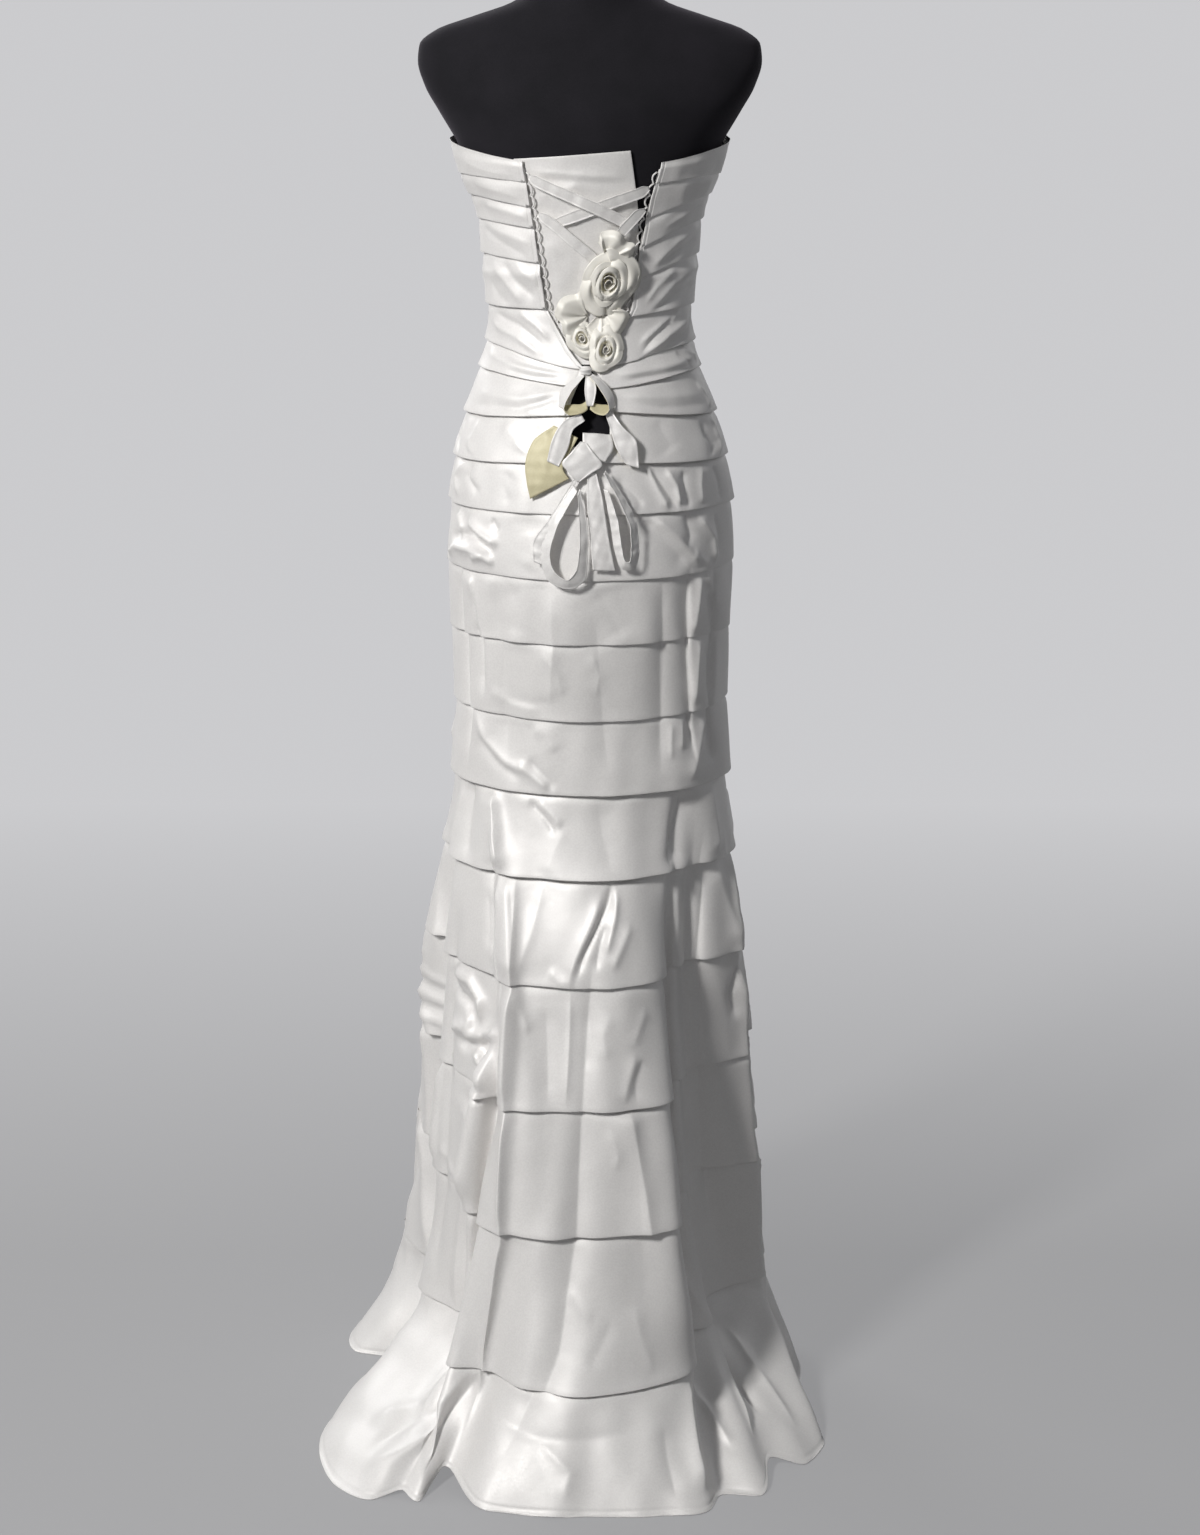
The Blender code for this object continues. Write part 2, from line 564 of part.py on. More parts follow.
def add_rose(name, x, height, lift, radius, depth, turns):
    """A strip wound in a spiral, wider at its mouth than at its base."""
    base, normal = on_figure(x, height, lift)
    across = Vector((0, 0, 1)).cross(normal).normalized()
    upward = normal.cross(across)
    stations = int(turns * ROSE_STATIONS_A_TURN)
    core = 0.18
    inner, outer = [], []
    for index in range(stations + 1):
        share = index / stations
        turn = 2 * math.pi * turns * share
        mouth = radius * (core + (1 - core) * share)
        foot = mouth * 0.72
        rim = depth * (1.0 - 0.35 * share)
        direction = across * math.cos(turn) + upward * math.sin(turn)
        low = base + direction * foot
        high = base + direction * mouth + normal * rim
        inner.append([low - direction * RIBBON_WALL, high - direction * RIBBON_WALL])
        outer.append([low, high])
    add_wall(name, inner, outer, closed=False)


def add_petal(name, x, height, lift, length, width, tip):
    """A cupped petal whose root is at the place given and whose tip points along an angle."""
    root, normal = on_figure(x, height, lift)
    across = Vector((0, 0, 1)).cross(normal).normalized()
    upward = normal.cross(across)
    along = across * math.cos(math.radians(tip)) + upward * math.sin(math.radians(tip))
    side = along.cross(normal)
    grids = []
    for thickness in (0.0, RIBBON_WALL):
        grid = []
        for forward in (0.0, 0.35, 0.7, 1.0):
            half = width / 2 * math.sqrt(1 - 0.6 * (2 * forward - 1) ** 2)
            row = []
            for sideways in (-1.0, -0.4, 0.4, 1.0):
                cup = 0.22 * width * sideways ** 2 + 0.30 * length * forward ** 2 + thickness
                row.append(root + along * (length * forward) + side * (half * sideways) + normal * cup)
            grid.append(row)
        grids.append(grid)
    add_wall(name, *grids, closed=False)


def add_knot():
    place, normal = on_figure(*KNOT_PLACE)
    maker = bmesh.new()
    bmesh.ops.create_cube(maker, size=1.0)
    bmesh.ops.scale(maker, vec=KNOT_SIZE, verts=maker.verts)
    knot = add_object("bow_knot", maker, "satin")
    knot.location = place
    knot.rotation_euler = (0, 0, math.atan2(normal.x, -normal.y))
    rounding = knot.modifiers.new("Rounding", "BEVEL")
    rounding.width = 0.0025
    rounding.segments = 2


def add_back_trim():
    add_panel()
    add_lace_loops()
    add_lacing()
    for rose in ROSES:
        add_rose(*rose)
    for petal in PETALS:
        add_petal(*petal)
    add_knot()
    for name, width, stations in BOW:
        add_ribbon(name, width, stations, slot="satin_cream" if name.endswith("cream") else "satin")


# --- the dress form and its stand -----------------------------------------------------------------

def form_ring(angles, height):
    if height > FIGURE[-1][0]:
        place, _ = figure_outline(angles, height, SHOULDERS)
    else:
        inset = table(FORM_INSET, height)[0]
        place, normal = figure_outline(angles, height)
        place = place - normal * inset
    return [(x, y, height) for x, y in place]


def turned(radii_and_heights, sides):
    """Rings of a round piece on the origin's axis."""
    angles = np.linspace(0, 2 * math.pi, sides, endpoint=False)
    return [[(radius * math.cos(a), radius * math.sin(a), height) for a in angles]
            for radius, height in radii_and_heights]


def add_form():
    angles = np.linspace(0, 2 * math.pi, FORM_COLUMNS, endpoint=False)
    heights = [row[0] for row in FIGURE if row[0] > TORSO_BOTTOM] + [row[0] for row in SHOULDERS]
    rings = [form_ring(angles, height) for height in [TORSO_BOTTOM] + heights]
    add_loft("form_torso", rings, "form_fabric")

    neck_half_width, neck_depth = SHOULDERS[-1][1], SHOULDERS[-1][2]
    cap = []
    for share, height in ((0.97, GAP), (1.02, 0.002), (1.02, 0.008), (0.90, CAP_THICKNESS)):
        cap.append([(neck_half_width * share * math.sin(a), -neck_depth * share * math.cos(a), NECK_TOP + height)
                    for a in angles])
    add_loft("form_neck_cap", cap, "painted_metal")

    pole = turned(((POLE_RADIUS, BASE_THICKNESS + GAP), (POLE_RADIUS, TORSO_BOTTOM - GAP)), 16)
    add_loft("form_pole", pole, "painted_metal")

    chamfer = 0.004
    base = turned(((BASE_RADIUS, 0.0), (BASE_RADIUS, BASE_THICKNESS - chamfer),
                   (BASE_RADIUS - chamfer, BASE_THICKNESS)), 32)
    add_loft("form_base", base, "painted_metal")


clear_scene()
add_tiers()
add_back_trim()
add_form()
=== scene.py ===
"""Looks of the tiered satin trumpet gown: satin shells for every tier, ribbon trim, and the form.

Metres, +Z up, the gown's laced back faces -Y. A place round a tier, q, starts at the centre back and
is positive towards +X: an angle in degrees on the fitted tiers, and a fold line's number on the folded
skirt. A crease is a soft ridge (depth > 0) or trough (depth < 0).
"""
import math

import bpy
import numpy as np
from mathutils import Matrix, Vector


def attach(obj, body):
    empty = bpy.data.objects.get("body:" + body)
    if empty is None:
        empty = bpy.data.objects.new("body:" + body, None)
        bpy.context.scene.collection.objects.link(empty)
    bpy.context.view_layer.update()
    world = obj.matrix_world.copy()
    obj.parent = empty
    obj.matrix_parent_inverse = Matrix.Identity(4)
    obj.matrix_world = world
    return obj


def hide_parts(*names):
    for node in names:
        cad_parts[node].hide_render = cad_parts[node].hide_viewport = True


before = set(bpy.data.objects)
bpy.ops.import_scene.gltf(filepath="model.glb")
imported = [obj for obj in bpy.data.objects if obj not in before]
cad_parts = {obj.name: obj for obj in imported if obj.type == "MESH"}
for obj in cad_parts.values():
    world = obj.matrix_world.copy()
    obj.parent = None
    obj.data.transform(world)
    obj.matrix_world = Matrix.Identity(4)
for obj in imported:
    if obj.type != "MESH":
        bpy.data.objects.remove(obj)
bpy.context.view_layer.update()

# --- sizes ----------------------------------------------------------------------------------------

MM = 0.001
WALL = 0.0015                 # the thickness that the CAD gives to a tier
GAP = 0.0003                  # room between a tier and the hem that covers its top
OVERLAP = 0.014               # how far each tier goes up under the hem above it
# how far the hidden top of a tier draws in under the hem above it
TUCK = {"open": 0.0012, "round": 0.0012, "folded": 0.0020}
HEM_RADIUS = 0.0007           # a hem is a soft turned edge of this radius
HEM_TURN = 0.016              # and this much cloth is turned up inside it
HEM_ROLL = (30, 65, 100, 135, 165)       # degrees round a turned edge, one row of points at each
EDGE_CROWDING = 0.72          # how much an open tier's columns crowd towards its two edges
# Stitching beside the opening and above the train's hem: distance in, width, depth
EDGE_SEAM = (0.0035, 0.0009, 0.0004)
TRAIN_SEAM = (0.0060, 0.0014, 0.0006)
COVERED = 0.9 * OVERLAP       # the hidden top of a tier, where it has no creases
HEM_LAYERS = (0.12, 0.5, 1.0)  # rows of a hem's turned cloth, as shares of HEM_TURN
EDGE_LAYERS = (1, 5, 9)       # columns of an open tier's turned side edges
FLOOR_GAP = 0.0002
KNEE = 0.737
THIGH = 0.800
NECK_TOP = 1.640
PANEL_LIFT = -0.0022          # the panel lies this far inside the figure's surface
RIBBON_WALL = 0.0009

# The figure inside the cloth: height, half width, depth at the back, depth at the front.
FIGURE = (
    (0.650, 0.1520, 0.120, 0.120),
    (0.737, 0.1480, 0.113, 0.112),
    (0.820, 0.1470, 0.114, 0.107),
    (0.900, 0.1500, 0.120, 0.107),
    (0.975, 0.1530, 0.123, 0.108),
    (1.040, 0.1500, 0.119, 0.106),
    (1.090, 0.1430, 0.112, 0.100),
    (1.140, 0.1290, 0.100, 0.092),
    (1.180, 0.1160, 0.088, 0.085),
    (1.205, 0.1080, 0.082, 0.082),
    (1.230, 0.1050, 0.079, 0.082),
    (1.250, 0.1065, 0.080, 0.085),
    (1.305, 0.1120, 0.088, 0.105),
    (1.345, 0.1170, 0.094, 0.118),
    (1.385, 0.1340, 0.100, 0.125),
    (1.420, 0.1460, 0.105, 0.130),
)

# The laced opening and the slit under it: height, left edge x, right edge x.
BACK_EDGES = (
    (1.080, -0.0020, 0.0020),
    (1.098, -0.0025, 0.0025),
    (1.115, -0.0210, 0.0210),
    (1.155, -0.0210, 0.0210),
    (1.190, -0.0060, 0.0020),
    (1.206, -0.0200, 0.0180),
    (1.251, -0.0455, 0.0432),
    (1.310, -0.0540, 0.0510),
    (1.363, -0.0620, 0.0620),
    (1.400, -0.0690, 0.0740),
)

# Every tier from the top down: name, columns, hem height at the side, at the back left and at the
# back right, and how far the hem stands off the figure. The first row is the neckline.
TIERS = (
    ("neckline", "neckline", 1.426, 1.398, 1.395, 0.0000),
    ("bodice_tier_1", "open", 1.387, 1.378, 1.375, 0.0020),
    ("bodice_tier_2", "open", 1.366, 1.349, 1.331, 0.0021),
    ("bodice_tier_3", "open", 1.341, 1.330, 1.302, 0.0022),
    ("bodice_tier_4", "open", 1.305, 1.295, 1.272, 0.0022),
    ("bodice_tier_5", "open", 1.251, 1.251, 1.241, 0.0034),
    ("waist_tier_1", "open", 1.213, 1.190, 1.192, 0.0042),
    ("waist_tier_2", "open", 1.185, 1.173, 1.170, 0.0040),
    ("skirt_tier_1", "open", 1.137, 1.144, 1.148, 0.0046),
    ("skirt_tier_2", "open", 1.090, 1.096, 1.096, 0.0042),
    ("skirt_tier_3", "round", 1.040, 1.042, 1.042, 0.0028),
    ("skirt_tier_4", "round", 0.977, 0.972, 0.972, 0.0028),
    ("skirt_tier_5", "round", 0.904, 0.902, 0.902, 0.0026),
    ("skirt_tier_6", "round", 0.823, 0.817, 0.817, 0.0028),
    ("skirt_tier_7", "round", 0.739, 0.735, 0.735, 0.0058),
    ("skirt_tier_8", "folded", 0.648, 0.646, 0.646, 0.0078),
    ("skirt_tier_9", "folded", 0.541, 0.534, 0.534, 0.0058),
    ("skirt_tier_10", "folded", 0.416, 0.402, 0.402, 0.0050),
    ("skirt_tier_11", "folded", 0.288, 0.268, 0.268, 0.0046),
    ("skirt_tier_12", "folded", 0.140, 0.110, 0.110, 0.0050),
)
# How closely a hem's back height keeps to the back.
HEM_DIP = {"neckline": 2.6, "open": 7, "round": 2, "folded": 1}
FLOOR_TIER = "skirt_tier_13"

# Columns and rows of each kind of tier's shell.
GRID = {"open": (440, 22), "round": (520, 32), "folded": (680, 32), "floor": (780, 52)}

# Fold lines of the trumpet skirt, going round from the centre back: angle at the knee, then x and y at
# the calf, shin, ankle and floor, and how far the hem is arched off the floor there.
FOLD_HEIGHTS = (0.000, 0.115, 0.275, 0.535)
FOLD_LINES = (
    (-3, (-0.007, -0.171), (-0.010, -0.226), (-0.010, -0.281), (0.005, -0.350), 0.0),  # back middle
    (17, (0.043, -0.160), (0.052, -0.209), (0.062, -0.260), (0.080, -0.346), 0.0),  # centre right face
    (33, (0.078, -0.130), (0.092, -0.198), (0.110, -0.222), (0.122, -0.340), 0.0),  # centre right edge
    (38, (0.080, -0.105), (0.080, -0.115), (0.098, -0.140), (0.142, -0.303), 0.0),  # valley right
    (43, (0.091, -0.098), (0.104, -0.105), (0.131, -0.122), (0.185, -0.304), 0.0),  # inner fold right
    (49, (0.101, -0.078), (0.103, -0.066), (0.127, -0.062), (0.206, -0.268), 0.012),  # gully right
    (60, (0.125, -0.077), (0.135, -0.045), (0.155, -0.030), (0.240, -0.235), 0.0),  # right flute face
    (80, (0.163, -0.030), (0.186, -0.022), (0.200, -0.010), (0.260, -0.190), 0.0),  # right flute edge
    (97, (0.155, 0.018), (0.168, 0.020), (0.180, 0.015), (0.228, -0.125), 0.0),  # side valley right
    (108, (0.160, 0.045), (0.180, 0.045), (0.195, 0.040), (0.238, -0.075), 0.0),  # side fold right back
    (122, (0.148, 0.078), (0.172, 0.090), (0.195, 0.090), (0.242, 0.030), 0.0),  # side fold right front
    (140, (0.105, 0.088), (0.118, 0.105), (0.135, 0.115), (0.165, 0.120), 0.006),  # front valley right
    (157, (0.062, 0.128), (0.072, 0.155), (0.080, 0.175), (0.100, 0.215), 0.0),  # front flute right
    (178, (0.003, 0.118), (0.003, 0.132), (0.003, 0.145), (0.000, 0.165), 0.005),  # front valley middle
    (202, (-0.062, 0.132), (-0.072, 0.160), (-0.082, 0.182), (-0.105, 0.222), 0.0),  # front flute left
    (225, (-0.110, 0.098), (-0.125, 0.120), (-0.140, 0.132), (-0.165, 0.145), 0.006),  # front valley left
    (246, (-0.168, 0.072), (-0.205, 0.110), (-0.225, 0.112), (-0.280, 0.100), 0.0),  # side fold left front
    (258, (-0.180, 0.022), (-0.192, 0.056), (-0.204, 0.054), (-0.283, 0.032), 0.0),  # side fold left back
    (272, (-0.148, -0.012), (-0.155, 0.010), (-0.165, 0.010), (-0.228, 0.010), 0.0),  # side valley left
    (289, (-0.158, -0.055), (-0.176, -0.045), (-0.195, -0.038), (-0.298, -0.150), 0.0),  # left flute edge
    (306, (-0.118, -0.107), (-0.141, -0.097), (-0.150, -0.086), (-0.297, -0.235), 0.0),  # left flute face
    (312, (-0.108, -0.118), (-0.119, -0.120), (-0.124, -0.108), (-0.272, -0.290), 0.0),  # gully left
    (317, (-0.100, -0.128), (-0.134, -0.160), (-0.138, -0.160), (-0.240, -0.313), 0.0),  # bright fold left
    (321, (-0.090, -0.138), (-0.114, -0.168), (-0.124, -0.180), (-0.207, -0.305), 0.004),# valley left
    (326, (-0.084, -0.148), (-0.118, -0.190), (-0.152, -0.216), (-0.186, -0.316), 0.0),  # centre left edge
    (331, (-0.078, -0.152), (-0.090, -0.211), (-0.113, -0.218), (-0.168, -0.284), 0.018),# crease left
    (344, (-0.045, -0.160), (-0.052, -0.226), (-0.070, -0.271), (-0.112, -0.334), 0.0),  # centre left face
)

# The form above the gown: height, half width, depth at the back, depth at the front.
SHOULDERS = (
    (1.420, 0.1408, 0.0998, 0.1248),
    (1.450, 0.1590, 0.098, 0.112),
    (1.475, 0.1730, 0.088, 0.098),
    (1.500, 0.1800, 0.076, 0.082),
    (1.517, 0.1780, 0.068, 0.071),
    (1.532, 0.1600, 0.062, 0.063),
    (1.546, 0.1200, 0.058, 0.058),
    (1.560, 0.0800, 0.055, 0.055),
    (1.576, 0.0600, 0.054, 0.054),
    (NECK_TOP, 0.0560, 0.053, 0.053),
)

# The panel behind the lacing: height, left edge x, right edge x.
PANEL_ROWS = (
    (1.194, -0.016, 0.013),
    (1.208, -0.028, 0.028),
    (1.232, -0.044, 0.042),
    (1.268, -0.056, 0.050),
    (1.310, -0.062, 0.051),
    (1.350, -0.069, 0.050),
    (1.385, -0.075, 0.046),
    (1.412, -0.079, 0.042),
)

# Unevenness of the cloth between its creases, and how much a hem waves, in metres.
NOISE_DEPTH = {"open": 0.0006, "round": 0.0013, "folded": 0.0018}
NOISE_SIZES = {"open": (0.018, 0.060), "round": (0.030, 0.100), "folded": (0.036, 0.120)}
# How far the creases stand out, times the depth that their tables give.
CREASE_GAIN = {"open": 1.25, "round": 1.3, "folded": 1.15}
HANGING = (1.0, 1.0, 0.35)     # hanging cloth is uneven mostly across and little up and down
HEM_WAVE = 0.0004
HEM_WAVE_HEIGHT = 0.02        # how far up from the hem the wave reaches
HEM_WAVE_SIZES = (0.05, 0.14)
CLEAR = 0.0008                # creases leave a tier at least this much of its lift
FREE_DEPTH = 0.05             # how much further in they may go where no tier lies below
DEEPEST = {"open": 0.0035, "round": 0.0050, "folded": 0.0400}   # how far in the cloth may go at most
CREASE_FADE = 0.22            # the share of a crease over which each of its ends dies away
CREASE_SHARPNESS = 1.3        # 1 is a sharp ridge and 2 a round one

# Creases that show, for each tier: depth in mm and widths in mm to the right and to the left of the
# line as it runs down, then places along it. A place is an angle from the centre back, or a fold
# line's number on the folded tiers, and the share of the way from the hem above to the tier's own hem.
CREASES = {
    "bodice_tier_1": (
        (0.8, 6, 6, ((-70, 0.5), (-50, 0.75), (-34, 0.8))),
        (-0.8, 7, 7, ((40, 0.7), (60, 0.8), (80, 0.7))),
    ),
    "bodice_tier_2": (
        (1.0, 7, 5, ((-65, 0.4), (-45, 0.6), (-32, 0.7))),
    ),
    "bodice_tier_3": (
        (1.2, 5, 5, ((-65, 0.3), (-45, 0.4), (-30, 0.6))),
        (1.4, 5, 5, ((80, 0.2), (55, 0.5), (38, 0.6))),
    ),
    "bodice_tier_4": (
        (1.2, 5, 8, ((-70, 0.05), (-45, 0.35), (-30, 0.5))),
        (-1.2, 7, 5, ((-75, 0.2), (-50, 0.6), (-32, 0.9))),
        (1.8, 6, 6, ((80, 0.1), (52, 0.4), (32, 0.8))),
        (-1.6, 5, 5, ((75, 0.4), (50, 0.7), (36, 0.9))),
    ),
    "bodice_tier_5": (
        (1.8, 6, 6, ((-65, 0.1), (-52, 0.5), (-38, 0.95))),
        (-1.8, 5, 5, ((-55, 0.1), (-42, 0.5), (-30, 0.8))),
        (1.6, 5, 6, ((-46, 0.0), (-36, 0.3), (-28, 0.5))),
        (-1.2, 5, 5, ((-70, 0.5), (-60, 0.8), (-48, 0.95))),
        (2.2, 6, 6, ((85, 0.2), (52, 0.45), (32, 0.9))),
        (-2.0, 5, 5, ((78, 0.5), (50, 0.75), (34, 1.0))),
        (1.6, 5, 4, ((55, 0.05), (38, 0.4), (30, 0.75))),
    ),
    "waist_tier_1": (
        (2.0, 5, 6, ((-78, 0.45), (-45, 0.55), (-20, 0.8))),
        (-1.8, 4, 5, ((-70, 0.2), (-42, 0.35), (-20, 0.65))),
        (1.8, 5, 4, ((-46, 0.05), (-30, 0.3), (-18, 0.55))),
        (3.0, 7, 6, ((80, 0.3), (50, 0.55), (26, 0.8))),
        (-3.0, 4, 5, ((80, 0.65), (46, 0.85), (26, 0.95))),
        (2.0, 5, 4, ((66, 0.05), (42, 0.3), (22, 0.6))),
        (-1.6, 4, 4, ((58, 0.1), (36, 0.5), (24, 0.75))),
    ),
    "waist_tier_2": (
        (2.0, 5, 5, ((-78, 0.35), (-42, 0.55), (-12, 0.5))),
        (-1.8, 4, 4, ((-74, 0.1), (-38, 0.35), (-12, 0.3))),
        (-1.4, 4, 4, ((-50, 0.8), (-30, 0.85), (-12, 0.7))),
        (2.4, 5, 5, ((80, 0.5), (45, 0.6), (12, 0.5))),
        (-2.2, 4, 4, ((72, 0.9), (42, 0.85), (15, 0.75))),
        (2.0, 4, 3, ((62, 0.1), (74, 0.5), (76, 0.9))),
        (-1.8, 3, 3, ((55, 0.2), (62, 0.6), (66, 0.95))),
    ),
    "skirt_tier_1": (
        (1.6, 5, 5, ((-70, 0.5), (-36, 0.55), (-12, 0.2))),
        (-1.5, 4, 4, ((-70, 0.8), (-34, 0.8), (-10, 0.35))),
        (1.2, 3, 3, ((-32, 0.9), (-22, 0.75), (-14, 0.5))),
        (1.5, 5, 5, ((14, 0.3), (34, 0.5), (66, 0.55))),
        (-1.5, 4, 5, ((12, 0.5), (34, 0.8), (72, 0.8))),
        (2.0, 3, 3, ((66, 0.3), (72, 0.6), (72, 0.95))),
    ),
    "skirt_tier_2": (
        (-2.4, 2, 7, ((-78, 0.1), (-78, 0.5), (-75, 0.95))),
        (1.6, 7, 3, ((-60, 0.1), (-62, 0.5), (-60, 0.9))),
        (1.2, 8, 8, ((-44, 0.2), (-34, 0.5), (-28, 0.9))),
        (-1.0, 8, 8, ((-24, 0.2), (-24, 0.5), (-20, 0.9))),
        (-2.6, 7, 2, ((60, 0.1), (60, 0.5), (62, 0.95))),
        (2.0, 7, 3, ((74, 0.1), (72, 0.5), (70, 0.95))),
        (-1.0, 9, 9, ((32, 0.1), (35, 0.5), (34, 0.9))),
    ),
    "skirt_tier_3": (
        (2.4, 5, 4, ((-64, 0.0), (-72, 0.4), (-66, 0.9))),
        (-2.2, 4, 5, ((-58, 0.05), (-60, 0.4), (-50, 0.75))),
        (-1.0, 8, 8, ((-34, 0.2), (-37, 0.55), (-34, 0.9))),
        (2.0, 5, 5, ((6, 0.35), (12, 0.7), (20, 0.95))),
        (-1.6, 4, 4, ((10, 0.3), (17, 0.6), (22, 0.9))),
        (3.2, 6, 4, ((24, 0.0), (28, 0.5), (33, 1.0))),
        (-2.6, 4, 5, ((25, 0.0), (31, 0.5), (38, 1.0))),
        (3.0, 5, 4, ((33, 0.1), (37, 0.5), (38, 0.95))),
        (-2.4, 5, 5, ((42, 0.15), (42, 0.6), (43, 1.0))),
        (1.8, 5, 5, ((54, 0.1), (51, 0.5), (51, 0.95))),
        (-1.8, 4, 5, ((62, 0.1), (66, 0.5), (66, 0.95))),
    ),
    "skirt_tier_4": (
        (5.6, 4, 7, ((-78, 0.9), (-66, 0.68), (-54, 0.66), (-40, 0.72))),
        (-3.4, 5, 4, ((-76, 0.62), (-64, 0.47), (-50, 0.48))),
        (4.6, 4, 6, ((-68, 0.1), (-62, 0.35), (-64, 0.55))),
        (4.6, 5, 5, ((-58, 0.2), (-48, 0.4), (-38, 0.55))),
        (-3.0, 4, 4, ((-58, 0.35), (-48, 0.55), (-40, 0.7))),
        (3.4, 4, 4, ((-54, 0.8), (-46, 0.75), (-40, 0.85))),
        (-2.2, 3, 3, ((-43, 0.15), (-41, 0.25), (-39, 0.35))),
        (1.0, 12, 12, ((-26, 0.25), (-23, 0.6), (-26, 0.9))),
        (-2.6, 7, 12, ((20, 0.05), (30, 0.4), (42, 0.9))),
        (3.4, 6, 5, ((24, 0.0), (36, 0.4), (50, 0.95))),
        (-2.4, 6, 6, ((42, 0.0), (44, 0.4), (40, 0.6))),
        (2.8, 6, 5, ((48, 0.1), (58, 0.5), (60, 0.95))),
        (-1.6, 5, 5, ((60, 0.1), (64, 0.5), (62, 0.85))),
        (1.5, 5, 5, ((44, 0.65), (50, 0.8), (56, 0.95))),
    ),
    "skirt_tier_5": (
        (3.0, 3, 8, ((-56, 0.0), (-53, 0.5), (-51, 1.0))),
        (-1.0, 12, 12, ((-33, 0.1), (-30, 0.5), (-32, 0.95))),
        (-1.6, 15, 15, ((2, 0.1), (8, 0.5), (14, 0.95))),
        (3.0, 6, 6, ((50, 0.0), (48, 0.5), (46, 1.0))),
        (2.2, 6, 6, ((53, 0.0), (60, 0.4), (62, 0.7))),
        (-2.0, 5, 5, ((55, 0.3), (59, 0.7), (59, 0.95))),
    ),
    "skirt_tier_6": (
        (1.3, 7, 7, ((-21, 0.1), (-13, 0.4), (-11, 0.7))),
        (-1.3, 8, 8, ((-40, 0.75), (-26, 0.8), (-12, 0.75))),
        (1.3, 8, 8, ((-48, 0.7), (-34, 0.85), (-20, 0.9))),
        (1.2, 7, 7, ((0, 0.1), (4, 0.4), (2, 0.7))),
        (2.8, 6, 6, ((51, 0.0), (49, 0.5), (48, 0.95))),
        (-2.2, 5, 5, ((55, 0.1), (59, 0.4), (57, 0.8))),
        (-2.2, 3, 5, ((64, 0.0), (62, 0.5), (61, 0.95))),
    ),
    "skirt_tier_7": (
        (2.8, 6, 6, ((-58, 0.0), (-49, 0.4), (-37, 0.65), (-23, 0.75))),
        (-2.4, 7, 7, ((-55, 0.35), (-42, 0.65), (-28, 0.85))),
        (2.4, 5, 5, ((-32, 0.6), (-23, 0.8), (-16, 0.95))),
        (-1.8, 5, 5, ((-27, 0.55), (-18, 0.8), (-14, 0.95))),
        (1.3, 10, 10, ((-26, 0.15), (-18, 0.2), (-14, 0.45))),
        (1.4, 4, 4, ((36, 0.1), (35, 0.4), (35, 0.6))),
        (1.4, 4, 4, ((42, 0.1), (41, 0.35), (40, 0.5))),
        (3.4, 10, 10, ((58, 0.1), (51, 0.5), (44, 0.95))),
        (-3.0, 6, 8, ((58, 0.2), (61, 0.5), (63, 0.8))),
    ),
    "skirt_tier_8": (
        (9.0, 8, 22, ((-5.5, 0.0), (-4.5, 0.5), (-3.5, 1.0))),
        (-4.0, 8, 10, ((-7.4, 0.0), (-7.4, 0.5), (-7.4, 1.0))),
        (-2.2, 4, 6, ((-8.2, 0.1), (-8.4, 0.5), (-8.6, 0.95))),
        (2.2, 6, 4, ((-7.8, 0.1), (-8.0, 0.5), (-8.2, 0.95))),
        (-3.0, 3, 4, ((-1.8, 0.1), (-1.2, 0.3), (-0.8, 0.5))),
        (2.2, 5, 5, ((-1.5, 0.1), (-1.0, 0.25), (-0.6, 0.4))),
        (-1.4, 14, 14, ((0.3, 0.1), (0.4, 0.5), (0.6, 0.95))),
        (1.2, 12, 12, ((-0.5, 0.4), (-0.9, 0.7), (-1.1, 1.0))),
        (-6.0, 22, 8, ((4.0, 0.0), (3.0, 0.5), (2.1, 1.0))),
        (4.0, 10, 16, ((6.0, 0.0), (6.2, 0.5), (6.3, 1.0))),
    ),
    "skirt_tier_9": (
        (5.0, 10, 20, ((-3.6, 0.0), (-2.9, 0.5), (-2.4, 1.0))),
        (-2.0, 9, 6, ((-3.1, 0.05), (-2.5, 0.5), (-2.1, 0.95))),
        (1.8, 8, 8, ((-1.2, 0.05), (-1.5, 0.5), (-2.0, 0.95))),
        (-5.0, 4, 4, ((0.6, 0.0), (0.55, 0.2), (0.35, 0.4), (0.0, 0.7), (-0.25, 0.95))),
        (4.0, 6, 7, ((0.45, 0.1), (0.15, 0.45), (-0.2, 0.75), (-0.45, 1.0))),
        (3.4, 4, 4, ((0.7, 0.1), (0.65, 0.35), (0.45, 0.7))),
        (-3.0, 5, 5, ((0.5, 0.4), (0.35, 0.6), (0.25, 0.85))),
        (2.8, 6, 7, ((1.0, 0.4), (0.75, 0.65), (0.55, 0.85))),
        (2.0, 5, 6, ((-1.0, 0.85), (-0.6, 0.95), (-0.2, 0.95))),
        (1.2, 5, 5, ((-5.6, 0.35), (-4.8, 0.25), (-4.0, 0.2))),
        (1.4, 6, 6, ((-5.6, 0.7), (-5.2, 0.85), (-4.8, 0.95))),
        (-1.3, 8, 8, ((-6.2, 0.2), (-6.0, 0.5), (-6.0, 0.8))),
        (4.5, 9, 14, ((6.3, 0.0), (6.6, 0.5), (6.8, 1.0))),
        (-1.8, 12, 12, ((4.6, 0.0), (4.8, 0.5), (4.8, 1.0))),
    ),
    "skirt_tier_10": (
        (1.6, 4, 4, ((-0.4, 0.0), (-0.4, 0.5), (-0.45, 1.0))),
        (5.0, 5, 10, ((-2.3, 0.0), (-2.25, 0.5), (-2.2, 1.0))),
        (2.6, 6, 6, ((-2.1, 0.05), (-1.8, 0.2), (-1.5, 0.4))),
